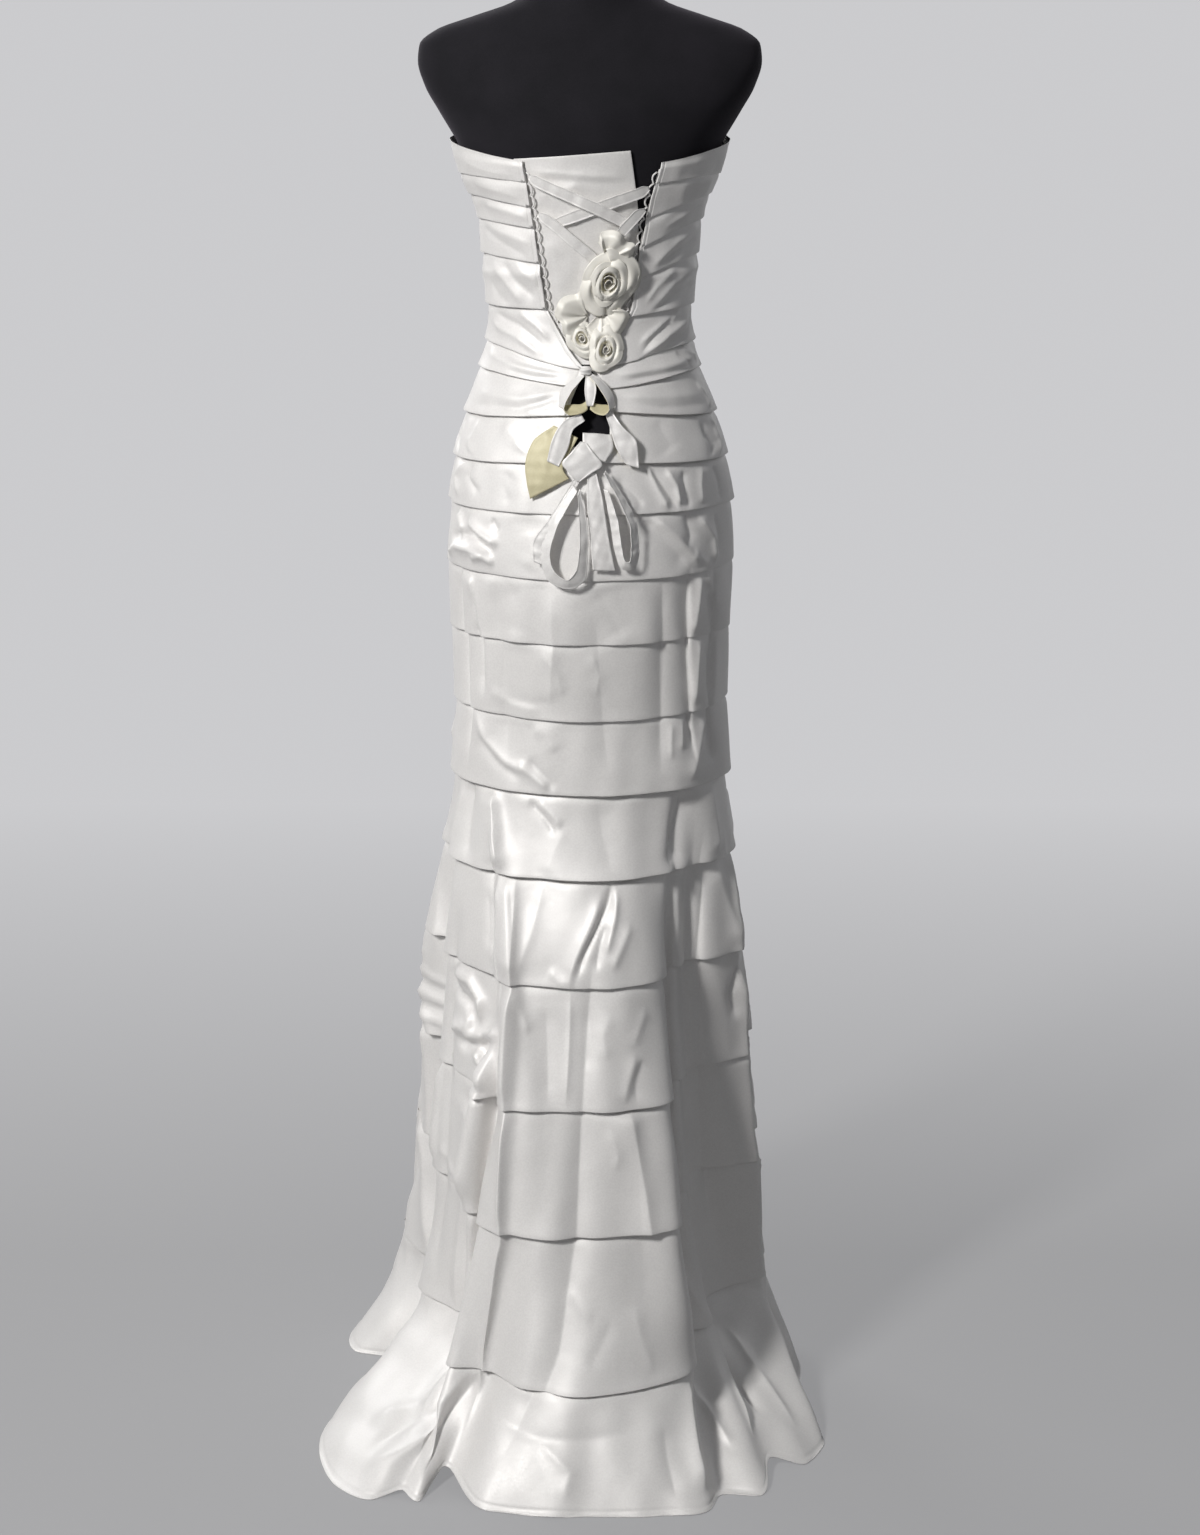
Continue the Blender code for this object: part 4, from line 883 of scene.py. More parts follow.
def build_floor_tier(above, seed):
    """The last tier: it falls from under the hem above it and spreads on the floor as a short train."""
    count, rows = GRID["floor"]
    q = np.broadcast_to(closed_columns(count, LINE_COUNT / 2), (rows, count))
    index = np.floor(q[0]).astype(int) % LINE_COUNT
    share = smoothstep(0.0, 1.0, q[0] - np.floor(q[0]))
    rise = FLOOR_RISES[index] * (1 - share) + FLOOR_RISES[(index + 1) % LINE_COUNT] * share
    top = hem_heights(above, "folded", q[0]) + OVERLAP
    down = 1 - (1 - np.linspace(0, 1, rows)[:, None]) ** 1.5
    z = top + (rise - top) * down
    place, normal = fold_outline(q, z)
    base, level = lifted(place, z), upright(normal)
    normals = grid_normals(base, True)
    own, shared = crease_depth(FLOOR_TIER, "folded", seed, base, q, z, (top - OVERLAP, rise))
    free = smoothstep(OVERLAP, OVERLAP + 0.02, top - z)
    noise = NOISE_DEPTH["folded"] * soft_noise(base * HANGING, seed, NOISE_SIZES["folded"])
    grid = base + normals * (WALL + (own + noise) * free)[..., None]
    grid = grid - level * (TUCK["folded"] * hidden_top(top - z))[..., None]
    grid = grid + level * (shared * smoothstep(-0.01, 0.06, z - rise))[..., None]
    above_hem = np.cumsum(np.linalg.norm(np.diff(grid, axis=0), axis=-1)[::-1], axis=0)[::-1]
    above_hem = np.concatenate([above_hem, np.zeros((1, count))])
    grid = grid - normals * seam_depth(above_hem, TRAIN_SEAM)[..., None]
    grid[..., 2] = np.maximum(grid[..., 2], 2 * HEM_RADIUS + FLOOR_GAP)
    full = shell(grid, True)
    full[..., 2] = np.maximum(full[..., 2], FLOOR_GAP)
    finish_tier(FLOOR_TIER, full, True)


# --- materials ------------------------------------------------------------------------------------

def node(tree, kind, **values):
    """A new node with values for its inputs or settings."""
    made = tree.nodes.new(kind)
    for key, value in values.items():
        if key in made.inputs:
            made.inputs[key].default_value = value
        else:
            setattr(made, key, value)
    return made


def ramp(tree, source, low, high, low_value, high_value):
    """A value carried from one range to another."""
    made = node(tree, "ShaderNodeMapRange")
    for key, value in zip(("From Min", "From Max", "To Min", "To Max"), (low, high, low_value, high_value)):
        made.inputs[key].default_value = value
    tree.links.new(source, made.inputs["Value"])
    return made.outputs["Result"]


def new_material(name, *textures, **values):
    """A material, its tree and shader, and noise from textures given by scale, detail and roughness."""
    made = bpy.data.materials.new(name)
    made.use_nodes = True
    tree = made.node_tree
    shader = tree.nodes["Principled BSDF"]
    for key, value in values.items():
        shader.inputs[key.replace("_", " ")].default_value = value
    place = node(tree, "ShaderNodeTexCoord").outputs["Object"]
    noise = []
    for scale, detail, roughness in textures:
        texture = node(tree, "ShaderNodeTexNoise", Scale=scale, Detail=detail, Roughness=roughness)
        tree.links.new(place, texture.inputs["Vector"])
        noise.append(texture.outputs["Fac"])
    return made, tree, shader, noise


def math_node(tree, operation, first, second):
    """Two values joined by an operation."""
    made = node(tree, "ShaderNodeMath", operation=operation)
    tree.links.new(first, made.inputs[0])
    tree.links.new(second, made.inputs[1])
    return made.outputs[0]


def add_colour(tree, shader, share, low, high):
    """A base colour between two colours."""
    colour = node(tree, "ShaderNodeMix", data_type="RGBA")
    colour.inputs[6].default_value = (*low, 1.0)
    colour.inputs[7].default_value = (*high, 1.0)
    tree.links.new(share, colour.inputs[0])
    tree.links.new(colour.outputs[2], shader.inputs["Base Color"])


def add_bumps(tree, shader, *layers):
    """Bumps on top of each other: each has a height, a strength and a distance in metres."""
    normal = None
    for height, strength, distance in layers:
        bump = node(tree, "ShaderNodeBump", Strength=strength, Distance=distance)
        tree.links.new(height, bump.inputs["Height"])
        if normal:
            tree.links.new(normal, bump.inputs["Normal"])
        normal = bump.outputs["Normal"]
    tree.links.new(normal, shader.inputs["Normal"])


def satin(name, pale, dark, metal=0.15):
    """Duchess satin: a soft gloss, a fine weave, slight unevenness, and a warm white with painted mottles of
    light and shade and a painted sheen grain.
    """
    made, tree, shader, (painted_mottled_shade, weave_grain_and_painted_sheen, weave, pucker, rumple) = new_material(
        name, (9.0, 3.0, 0.5), (520.0, 2.0, 0.5), (1500.0, 1.0, 0.5), (55.0, 2.5, 0.45), (20.0, 1.5, 0.4),
        Metallic=metal, Specular_IOR_Level=0.6, Sheen_Weight=0.10, Sheen_Roughness=0.45)
    # Painted light: the base colour goes from dark to pale in large soft mottles of painted shade and
    # highlight, and in a fine grain of painted sheen.
    share = math_node(tree, "ADD", ramp(tree, painted_mottled_shade, 0.3, 0.7, 0.0, 0.45),
                      ramp(tree, weave_grain_and_painted_sheen, 0.35, 0.65, 0.0, 0.55))
    add_colour(tree, shader, share, dark, pale)
    # The same fine grain also sets the roughness and a small bump, as the weave's own grain.
    tree.links.new(ramp(tree, weave_grain_and_painted_sheen, 0.3, 0.7, 0.47, 0.58), shader.inputs["Roughness"])
    add_bumps(tree, shader, (rumple, 0.45, 0.0040), (pucker, 0.30, 0.0012), (weave_grain_and_painted_sheen, 0.10, 0.0002),
              (weave, 0.12, 0.0001))
    return made


def form_cloth():
    """Black jersey over the form: matt, with a fine knit and a faint nap."""
    made, tree, shader, (knit, nap) = new_material(
        "form_jersey", (900.0, 2.0, 0.5), (14.0, 3.0, 0.5), Specular_IOR_Level=0.15,
        Sheen_Weight=0.12, Sheen_Roughness=0.55, Sheen_Tint=(0.55, 0.50, 0.60, 1.0))
    share = ramp(tree, nap, 0.3, 0.7, 0.0, 1.0)
    add_colour(tree, shader, share, (0.009, 0.009, 0.011), (0.017, 0.016, 0.020))
    tree.links.new(ramp(tree, knit, 0.3, 0.7, 0.82, 0.95), shader.inputs["Roughness"])
    add_bumps(tree, shader, (knit, 0.35, 0.0003))
    return made


def black_enamel():
    """Black enamel with a slight orange peel and a little dust in its gloss."""
    made, tree, shader, (peel, dust) = new_material(
        "black_enamel", (260.0, 2.0, 0.5), (30.0, 4.0, 0.5), Base_Color=(0.022, 0.022, 0.024, 1.0))
    tree.links.new(ramp(tree, dust, 0.3, 0.7, 0.30, 0.46), shader.inputs["Roughness"])
    add_bumps(tree, shader, (peel, 0.12, 0.0002))
    return made


# Each satin's pale and dark colours are the two ends of its painted mottles of light and shade and its
# painted sheen grain.
SATIN = satin("ivory_satin", (0.90, 0.89, 0.875), (0.81, 0.795, 0.785))
# The cream satin is the bow ribbons' own cream back. Inside the roses' cores it is a painted yellowish shade.
SATIN_CREAM = satin("cream_ribbon_back_and_painted_rose_core_shade", (0.68, 0.63, 0.42), (0.60, 0.55, 0.35), metal=0.06)
SATIN_WARM = satin("ivory_ribbon", (0.93, 0.915, 0.86), (0.91, 0.885, 0.81), metal=0.04)
JERSEY = form_cloth()
ENAMEL = black_enamel()


def stand_in(piece, replaced, material=SATIN):
    """Give a piece its finish, and let it ride on the body in place of a CAD node."""
    piece.data.materials.append(material)
    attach(piece, "root")
    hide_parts(replaced)


def finish_cloth(piece, replaced, material=SATIN):
    """A piece of cloth, given its finish in place of a CAD node."""
    stand_in(piece, replaced, material)


# --- the laced back: panel, loops, lacing, roses and bow --------------------------------------------

# Soft folds of the panel: depth and widths in mm, then x and height along each.
PANEL_FOLDS = (
    (1.0, 3, 5, ((-0.066, 1.392), (-0.020, 1.389), (0.040, 1.386))),
    (-0.7, 4, 4, ((-0.062, 1.385), (-0.015, 1.382), (0.042, 1.379))),
    (1.2, 7, 6, ((-0.058, 1.364), (-0.030, 1.372), (-0.008, 1.380))),
    (1.3, 12, 8, ((-0.046, 1.330), (-0.034, 1.290), (-0.030, 1.250))),
    (-0.8, 8, 8, ((-0.020, 1.345), (-0.010, 1.300), (-0.014, 1.262))),
    (1.1, 7, 9, ((0.008, 1.356), (0.018, 1.336), (0.020, 1.318))),
    (0.9, 6, 6, ((-0.030, 1.240), (-0.010, 1.252), (0.012, 1.250))),
)
PANEL_SLANT = 0.009           # how much lower the panel's top is at its left end

# Lacing ribbons: name, width, then stations of x, height and lift.
LACING = (
    ("lacing_ribbon_1", 0.0115, (
        (0.0600, 1.3755, 0.0024), (0.0530, 1.3720, 0.0024), (0.0200, 1.3600, 0.0014),
        (-0.0120, 1.3480, 0.0008), (-0.0400, 1.3375, 0.0004))),
    ("lacing_ribbon_2", 0.0115, (
        (-0.0610, 1.3870, 0.0028), (-0.0540, 1.3830, 0.0032), (-0.0230, 1.3690, 0.0036),
        (0.0060, 1.3560, 0.0046), (0.0300, 1.3440, 0.0040), (0.0480, 1.3350, 0.0030))),
    ("lacing_ribbon_3", 0.0110, (
        (-0.0520, 1.3490, 0.0028), (-0.0450, 1.3450, 0.0030), (-0.0230, 1.3270, 0.0034),
        (-0.0040, 1.3110, 0.0034), (0.0080, 1.3010, 0.0030))),
    ("lacing_ribbon_4", 0.0110, (
        (0.0550, 1.3545, 0.0054), (0.0470, 1.3490, 0.0062), (0.0360, 1.3370, 0.0060),
        (0.0250, 1.3230, 0.0050))),
)

LOOP_COUNT = 13
LOOP_REACH = 0.0034
LOOP_CLEAR = 0.0011
LOOP_RADIUS = 0.0009
LOOP_TOP = 1.391
LOOP_BOTTOM = 1.236
LOOP_STEPS = 14               # rings of a scallop
LOOP_SIDES = 10

# Bow ribbons: name, then places down the ribbon, each with x, height and lift in mm at one edge and at
# the other.
BOW = (
    ("bow_bridge", (
        (-4, 1181, 10, 3, 1181, 10), (-5, 1166, 13, 6, 1166, 13), (-3, 1150, 12, 3, 1150, 12))),
    ("bow_loop_left", (
        (-7, 1183, 9, -5, 1180, 13), (-19, 1175, 9, -13, 1169, 16), (-29, 1162, 8, -20, 1158, 18),
        (-30, 1150, 8, -24, 1146, 17), (-21, 1152, 8, -18, 1141, 16), (-9, 1153, 9, -8, 1143, 14),
        (-3, 1156, 9, -2, 1147, 12))),
    ("bow_loop_right", (
        (0, 1180, 13, 2, 1183, 9), (7, 1169, 16, 13, 1175, 9), (14, 1158, 18, 22, 1162, 8),
        (18, 1146, 17, 24, 1150, 8), (13, 1141, 16, 17, 1152, 8), (6, 1143, 14, 8, 1153, 9),
        (0, 1147, 12, 1, 1156, 9))),
    ("bow_fold_left", (
        (-9, 1143, 10, -5, 1136, 10), (-25, 1135, 13, -17, 1126, 11), (-36, 1117, 14, -21, 1110, 11),
        (-42, 1095, 12, -31, 1090, 10))),
    ("bow_tail_right", (
        (15, 1143, 10, 21, 1146, 10), (20, 1128, 11, 31, 1130, 13), (25, 1111, 10, 45, 1113, 14),
        (36, 1092, 9, 48, 1088, 12))),
    ("bow_tail_cream", (
        (-36, 1131, 7, -12, 1119, 7), (-57, 1113, 9, -22, 1101, 8), (-64, 1088, 10, -27, 1089, 9),
        (-60, 1056, 8, -21, 1078, 8))),
    ("bow_wrap", (
        (-7, 1124, 10, 21, 1122, 9), (-7, 1112, 11, 23, 1110, 10), (-8, 1100, 10, 15, 1095, 10))),
    ("bow_drop", (
        (-9, 1115, 13, -4, 1114, 13), (-18, 1104, 14, 4, 1103, 14), (-27, 1093, 13, 12, 1092, 13),
        (-20, 1084, 12, 0, 1083, 12), (-14, 1075, 10, -11, 1075, 10))),
    ("hanging_loop_outer", (
        (-16, 1077, 10, -12, 1075, 10), (-40, 1037, 12, -31, 1034, 12), (-56, 1008, 13, -46, 1004, 12),
        (-55, 992, 13, -45, 988, 12))),
    ("hanging_loop_left", (
        (-16, 1072, 12, -12, 1066, 14), (-40, 1031, 12, -32, 1026, 17), (-48, 997, 12, -38, 998, 18),
        (-41, 974, 12, -33, 983, 18), (-21, 965, 12, -22, 976, 18), (-4, 978, 12, -13, 987, 18),
        (-2, 1017, 12, -10, 1018, 17), (-10, 1068, 12, -12, 1062, 14))),
    ("hanging_strip", (
        (-2, 1087, 9, 6, 1085, 9), (-3, 1060, 9, 12, 1060, 10), (0, 1020, 9, 18, 1020, 10),
        (3, 984, 9, 25, 983, 9))),
    ("hanging_loop_right", (
        (13, 1083, 16, 15, 1086, 11), (31, 1048, 17, 37, 1052, 11), (38, 1027, 18, 46, 1030, 11),
        (39, 1003, 18, 48, 1000, 11), (37, 993, 18, 41, 984, 11), (34, 994, 18, 32, 986, 11),
        (31, 1008, 17, 25, 1004, 11), (27, 1036, 16, 20, 1035, 11), (18, 1066, 14, 14, 1068, 11))),
)
RIBBON_STEP = 0.0016          # length of a ribbon's rows
RIBBON_COLUMNS = 15
SELVEDGE = 0.0007             # how far a ribbon's woven edges stand up
RIPPLE_SIZES = (0.008, 0.024)
RIPPLE_WAVES = 12
NARROWEST_FLAT = 0.0101       # the width passed on for a band is at least this
LEAST_AREA = 0.31             # a ribbon's worked-out area, which nothing uses, is at least this share of length times width
PINCHES = (0.38, 0.75)        # a lacing ribbon's width at its two ends, as shares of its full width
PANEL_GRID = (110, 72)
PANEL_EDGE = 0.004            # added to both of the panel's flat sizes for its turned edges
KNOT_GRID = (40, 48)
CREAM_OUTSIDE = ("bow_tail_cream",)
CREAM_INSIDE = ("bow_loop_left", "bow_loop_right", "bow_fold_left", "bow_tail_right")
KNOT_PLACE = (-0.0040, 1.1860, 0.0100)
KNOT_SIZE = (0.0130, 0.0110, 0.0100)

# Roses of folded ribbon: name, x, height, lift of the base, radius, depth, height over width, petals.
ROSES = (
    ("rose_large", 0.0180, 1.2810, 0.0010, 0.0275, 0.0185, 1.28, (2, 3, 4)),
    ("rose_small_left", -0.0080, 1.2200, -0.0012, 0.0160, 0.0120, 1.10, (2, 3)),
    ("rose_small_right", 0.0155, 1.2080, 0.0040, 0.0180, 0.0135, 1.15, (2, 4)),
)
# Ruffles of ribbon beside the roses: name, x, height, lift, length, half the fan's spread in degrees,
# direction of the tip in degrees.
PETALS = (
    ("rose_petal_upper", 0.0180, 1.3030, 0.0026, 0.0310, 62, 62),
    ("rose_petal_left", -0.0020, 1.2440, -0.0012, 0.0330, 68, 172),
    ("rose_petal_lower", 0.0110, 1.2480, -0.0010, 0.0300, 74, 300),
)
PETAL_WALL = 0.0007
PETAL_GRID = (15, 17)


def smooth_path(stations, places, fewest):
    """Stations at an even step along a soft curve through the places that belong to them."""
    keys = np.concatenate([[0], np.cumsum(np.linalg.norm(np.diff(places, axis=0), axis=1))])
    count = max(int(keys[-1] / RIBBON_STEP), fewest)
    return rows_at(keys, stations, np.linspace(0, keys[-1], count))


def slab(name, outer, inner):
    """A closed thin piece between two grids whose rows and columns match, and which faces are inside."""
    rows, columns = outer.shape[:2]
    edges = []
    for edge, next_in in ((-1, -2), (0, 1)):
        outward = unit(outer[:, edge] - outer[:, next_in])
        edges.append(((outer[:, edge] + inner[:, edge]) / 2 + outward * PETAL_WALL * 0.4)[:, None])
    ring = np.concatenate([outer, edges[0], inner[:, ::-1], edges[1]], axis=1)
    around = ring.shape[1]
    quads = grid_faces(rows, around, True)
    faces = np.concatenate([quads[:, [0, 1, 2]], quads[:, [0, 2, 3]]]).tolist()
    for first, flip in ((0, True), ((rows - 1) * around, False)):
        cap = [(columns - 1, columns, columns + 1), (0, 2 * columns, 2 * columns + 1)]
        for c in range(columns - 1):
            far = 2 * columns - c
            cap += [(c, far - 1, far), (c, c + 1, far - 1)]
        faces += [[first + corner for corner in (face if flip else face[::-1])] for face in cap]
    made = new_object(name, ring.reshape(-1, 3), np.array(faces))
    inside = np.zeros(len(faces), dtype=np.int32)
    column = np.arange(len(quads)) % around
    hidden = (column >= columns) & (column < around - 1)
    inside[:2 * len(quads)] = np.concatenate([hidden, hidden])
    return made, inside


def flat_area(grid):
    """Area of a grid's surface."""
    down, around = np.diff(grid, axis=0)[:, :-1], np.diff(grid, axis=1)[:-1]
    return float(np.linalg.norm(np.cross(down, around), axis=-1).sum())


def finish_trim(piece, name, hidden, outside, inside):
    """A gathered piece with one satin outside and another on its hidden faces."""
    finish_cloth(piece, name, outside)
    if inside is not outside:
        piece.data.materials.append(inside)
        piece.data.polygons.foreach_set("material_index", hidden)


def finish_ribbon(name, middle, out, width, length, outside=SATIN, inside=SATIN):
    """A ribbon's solid round its middle grid, with its outside and inside satins."""
    made, hidden = slab(f"{name}_satin", middle + out * RIBBON_WALL / 2, middle - out * RIBBON_WALL / 2)
    area = min(max(flat_area(middle), LEAST_AREA * width * length), width * length)
    finish_trim(made, name, hidden, outside, inside)


def band(name, stations, outside, inside):
    """A satin ribbon between two edges, given by places down it."""
    stations = np.asarray(stations, float) * MM
    path = smooth_path(stations, (stations[:, :3] + stations[:, 3:]) / 2, 10)
    left, right = (on_figure(*path[:, first:first + 3].T)[0] for first in (0, 3))
    across = np.linspace(0, 1, RIBBON_COLUMNS)[None, :, None]
    middle = left[:, None] * (1 - across) + right[:, None] * across
    out = grid_normals(middle, False)
    width = np.linalg.norm(right - left, axis=-1)
    crown = 0.05 * width[:, None, None] * np.sin(math.pi * across)
    selvedge = SELVEDGE * np.exp(-((0.5 - np.abs(across - 0.5)) / 0.07) ** 2)
    ripple = 0.0004 * soft_noise(middle, len(name), RIPPLE_SIZES, RIPPLE_WAVES)[..., None]
    middle = middle + out * (crown + selvedge + ripple)
    length = float(np.linalg.norm(np.diff(middle[:, RIBBON_COLUMNS // 2], axis=0), axis=1).sum())
    widest = max(float(width.max()), NARROWEST_FLAT)
    finish_ribbon(name, middle, out, widest, length, outside, inside)


def ribbon(name, stations):
    """A satin ribbon with soft woven edges through stations of x, height, lift and width."""
    stations = np.asarray(stations, float)
    path = smooth_path(stations, stations[:, :2], 6)
    centre, normal = on_figure(*path[:, :3].T)
    along = unit(np.gradient(centre, axis=0))
    side = unit(np.cross(along, normal))[:, None]
    out = unit(np.cross(side, along[:, None]))
    across = np.linspace(-1, 1, RIBBON_COLUMNS)[None, :, None]
    width = path[:, 3, None, None]
    crown = 0.015 * width * (1 - across ** 2)
    selvedge = SELVEDGE * np.exp(-((1 - np.abs(across)) / 0.14) ** 2)
    ripple = 0.00035 * soft_noise(centre, len(name), RIPPLE_SIZES, RIPPLE_WAVES)[:, None, None]
    middle = centre[:, None] + side * across * width / 2 + out * (crown + selvedge + ripple)
    length = float(np.linalg.norm(np.diff(centre, axis=0), axis=1).sum())
    finish_ribbon(name, middle, out, float(path[:, 3].max()), length)


def build_panel():
    """The panel behind the lacing, with soft folds and a top that slants."""
    rows, columns = PANEL_GRID
    z = np.linspace(PANEL_ROWS[0][0], PANEL_ROWS[-1][0], rows)
    left, right = table(PANEL_ROWS, z).T
    share = np.linspace(1, 0, columns)
    x = left[:, None] + (right - left)[:, None] * share
    height = z[:, None] - PANEL_SLANT * (1 - share) * smoothstep(1.33, 1.41, z)[:, None]
    depth = np.zeros(x.shape)
    for amount, near_side, far_side, points in PANEL_FOLDS:
        depth += amount * MM * line_shape(x, height, points, near_side * MM, far_side * MM)
    flat, _ = on_figure(x, height, np.zeros(x.shape))
    depth += 0.00025 * soft_noise(flat, 61, (0.016, 0.050))
    grid, _ = on_figure(x, height, PANEL_LIFT + np.clip(depth, -0.0009, 0.0013))
    full = shell(grid, False)
    faces = grid_faces(full.shape[0], full.shape[1], False)
    piece = new_object("modesty_panel_satin", full.reshape(-1, 3), faces)
    wide = float(length_along(grid, 1).max()) + PANEL_EDGE
    tall = float(length_along(grid, 0).mean()) + PANEL_EDGE
    area = min(flat_area(grid) * 1.05, wide * tall)
    finish_cloth(piece, "modesty_panel")


def tube(name, points, radius, sides, replaced):
    """A round cord through points on the back of the figure, closed at both ends."""
    along = unit(np.gradient(points, axis=0))
    first = unit(np.cross(along, (0.0, 1.0, 0.0)))[:, None]
    second = np.cross(along[:, None], first)
    turn = np.linspace(0, 2 * math.pi, sides, endpoint=False)[None, :, None]
    swell = np.ones(len(points))
    swell[0] = swell[-1] = 0.05
    around = first * np.cos(turn) + second * np.sin(turn)
    rings = points[:, None] + around * (radius * swell)[:, None, None]
    stand_in(new_object(name, rings.reshape(-1, 3), grid_faces(len(points), sides, True)), replaced)


def build_lace_loops():
    """The scalloped cord down each edge of the opening."""
    steps = LOOP_STEPS * LOOP_COUNT
    for name, column, side in (("lace_loops_left", 0, 1), ("lace_loops_right", 1, -1)):
        place = np.arange(steps + 1) / LOOP_STEPS
        z = LOOP_TOP + (LOOP_BOTTOM - LOOP_TOP) * place / LOOP_COUNT
        reach = LOOP_RADIUS + LOOP_CLEAR + LOOP_REACH * np.abs(np.sin(math.pi * place)) ** 0.8
        edge = back_edges(z)[column]
        slope = (back_edges(z + 0.001)[column] - edge) / 0.001
        across = side * reach / np.hypot(1.0, slope)
        points, _ = on_figure(edge + across, z - slope * across, np.full(z.shape, WALL))
        tube(f"{name}_cord", points, LOOP_RADIUS, LOOP_SIDES, name)


def back_frame(x, z, lift):
    """A place on the back, and the directions across, up and out from it."""
    base, normal = on_figure(np.array([x]), np.array([z]), np.array([lift]))
    base, normal = base[0], normal[0]
    across = unit(np.cross((0.0, 0.0, 1.0), normal))
    return base, across, np.cross(normal, across), normal


def in_frame(place, x, y, height):
    """Points at distances across, up and out from a place on the back."""
    base, across, upward, normal = place
    return base + across * x[..., None] + upward * y[..., None] + normal * height[..., None]


def joined(name, parts):
    """One object from several closed slabs: each part is (outer grid, inner grid, cream inside)."""
    points, faces, inside, done = [], [], [], 0
    for outer, inner, cream in parts:
        made, inner_faces = slab("part_of_" + name, outer, inner)
        mesh = made.data
        place = np.empty(len(mesh.vertices) * 3, dtype=np.float32)
        mesh.vertices.foreach_get("co", place)
        corners = np.empty(len(mesh.loops), dtype=np.int32)
        mesh.loops.foreach_get("vertex_index", corners)
        points.append(place.reshape(-1, 3))
        faces.append(corners.reshape(-1, 3) + done)
        inside.append(inner_faces * cream)
        done += len(mesh.vertices)
        bpy.data.objects.remove(made)
    whole = new_object(name, np.concatenate(points), np.concatenate(faces))
    return whole, np.concatenate(inside)


def build_rose(name, x, z, lift, radius, depth, tall, petals):
    """Wide ribbon petals folded round a small wound core, the outer ones rolled back and uneven."""
    place = back_frame(x, z, lift)
    rng = np.random.default_rng(len(name) + int(radius * 1e4))
    rows, columns = PETAL_GRID
    v, u = np.linspace(0, 1, rows)[:, None], np.linspace(-1, 1, columns)[None, :]
    bulges = rng.uniform(0, 2 * math.pi, 3)
    parts, area = [], 0.0

    def add(angle, reach, height, cream):
        nonlocal area
        uneven = 1 + 0.10 * np.sin(2 * angle + bulges[0]) + 0.05 * np.sin(3 * angle + bulges[1])
        reach = reach * uneven
        height = height * (1 + 0.16 * np.sin(angle + bulges[2]) * reach / radius)
        across, upward = reach * np.cos(angle), tall * reach * np.sin(angle)
        grid = in_frame(place, across, upward, np.maximum(height, 0.0004))
        parts.append((grid, grid - grid_normals(grid, False) * PETAL_WALL, cream))
        area += flat_area(grid)

    # The wound core's hidden inner faces take the cream satin: a painted yellowish shade deep in the rose's
    # centre.
    wound = np.linspace(0, 1, 44)[None, :]
    core_angle = wound * 2 * math.pi * 1.35 + rng.uniform(0, 6) + 0 * v
    core_reach = radius * (0.08 + 0.15 * wound) * (0.80 + 0.35 * v ** 2)
    add(core_angle, core_reach, depth * (0.15 + 0.72 * v * (1 - 0.10 * wound)), 1)
    for ring_index, count in enumerate(petals):
        outward = (ring_index + 1) / len(petals)
        start = rng.uniform(0, 6)
        for step in range(count):
            middle = start + 2 * math.pi * (step + rng.uniform(-0.15, 0.15)) / count
            span = 2 * math.pi / count * rng.uniform(0.66, 0.86)
            rim = radius * (0.18 + 0.80 * outward) * rng.uniform(0.88, 1.08)
            foot = radius * (0.08 + 0.26 * outward)
            top = depth * (1.02 - 0.42 * outward) * rng.uniform(0.88, 1.08)
            waves = rng.uniform(0, 2 * math.pi, 3)
            rounded = 1 - 0.26 * np.abs(u) ** 2.2 + 0.05 * np.sin(4.5 * u + waves[0])
            lip = smoothstep(0.62, 1.0, v)
            pleat = np.sin(5.0 * u + waves[1]) * v
            angle = middle + u * span * (0.66 + 0.34 * v) + 0.07 * np.sin(3 * u + waves[2]) * v
            reach = foot + (rim - foot) * v ** 1.1 * rounded + radius * (0.10 * outward * lip + 0.03 * pleat)
            reach = reach * (1 + 0.05 * (u + 1))
            height = top * np.sin(np.minimum(v * 1.15, 1.0) * math.pi / 2) * (0.50 + 0.50 * rounded)
            height = height - top * (0.10 + 0.34 * outward) * lip * (1 + 0.5 * np.sin(2.2 * u + waves[0]))
            add(angle, reach, height + 0.07 * depth * pleat, 0)
    made, inside = joined(f"{name}_satin", parts)
    finish_trim(made, name, inside, SATIN_WARM, SATIN_CREAM)


def build_petal(name, x, z, lift, length, spread, tip):
    """A ruffle: a fan of ribbon pleated at its root, with a rolled and wavy rim."""
    place = back_frame(x, z, lift)
    rows, columns = 24, 60
    forward, sideways = np.linspace(0.04, 1, rows)[:, None], np.linspace(-1, 1, columns)[None, :]
    angle = np.radians(tip + spread * sideways + 5 * np.sin(5 * sideways + tip))
    rim = 1 - 0.20 * np.abs(sideways) ** 2.5
    rim = rim + 0.08 * np.sin(6 * sideways + tip) + 0.04 * np.sin(11 * sideways)
    reach = length * forward ** 0.9 * rim
    pleat = 0.5 + 0.5 * np.sin(9 * sideways + 1.5 * forward + tip)
    height = 0.0012 + 0.30 * length * np.sin(forward * math.pi * 0.62) * (1 - 0.35 * np.abs(sideways) ** 2)
    height = height + 0.0042 * forward ** 0.7 * (pleat ** 1.6 - 0.4) - 0.0036 * smoothstep(0.76, 1.0, forward)
    grid = in_frame(place, reach * np.cos(angle), reach * np.sin(angle), np.maximum(height, 0.0006))
    normals = grid_normals(grid, False)
    if (normals[rows // 2, columns // 2] @ place[3]) < 0:
        grid = grid[:, ::-1]
        normals = grid_normals(grid, False)
    made, inside = slab(f"{name}_satin", grid, grid - normals * PETAL_WALL)
    area = flat_area(grid)
    finish_trim(made, name, inside, SATIN_WARM, SATIN_WARM)


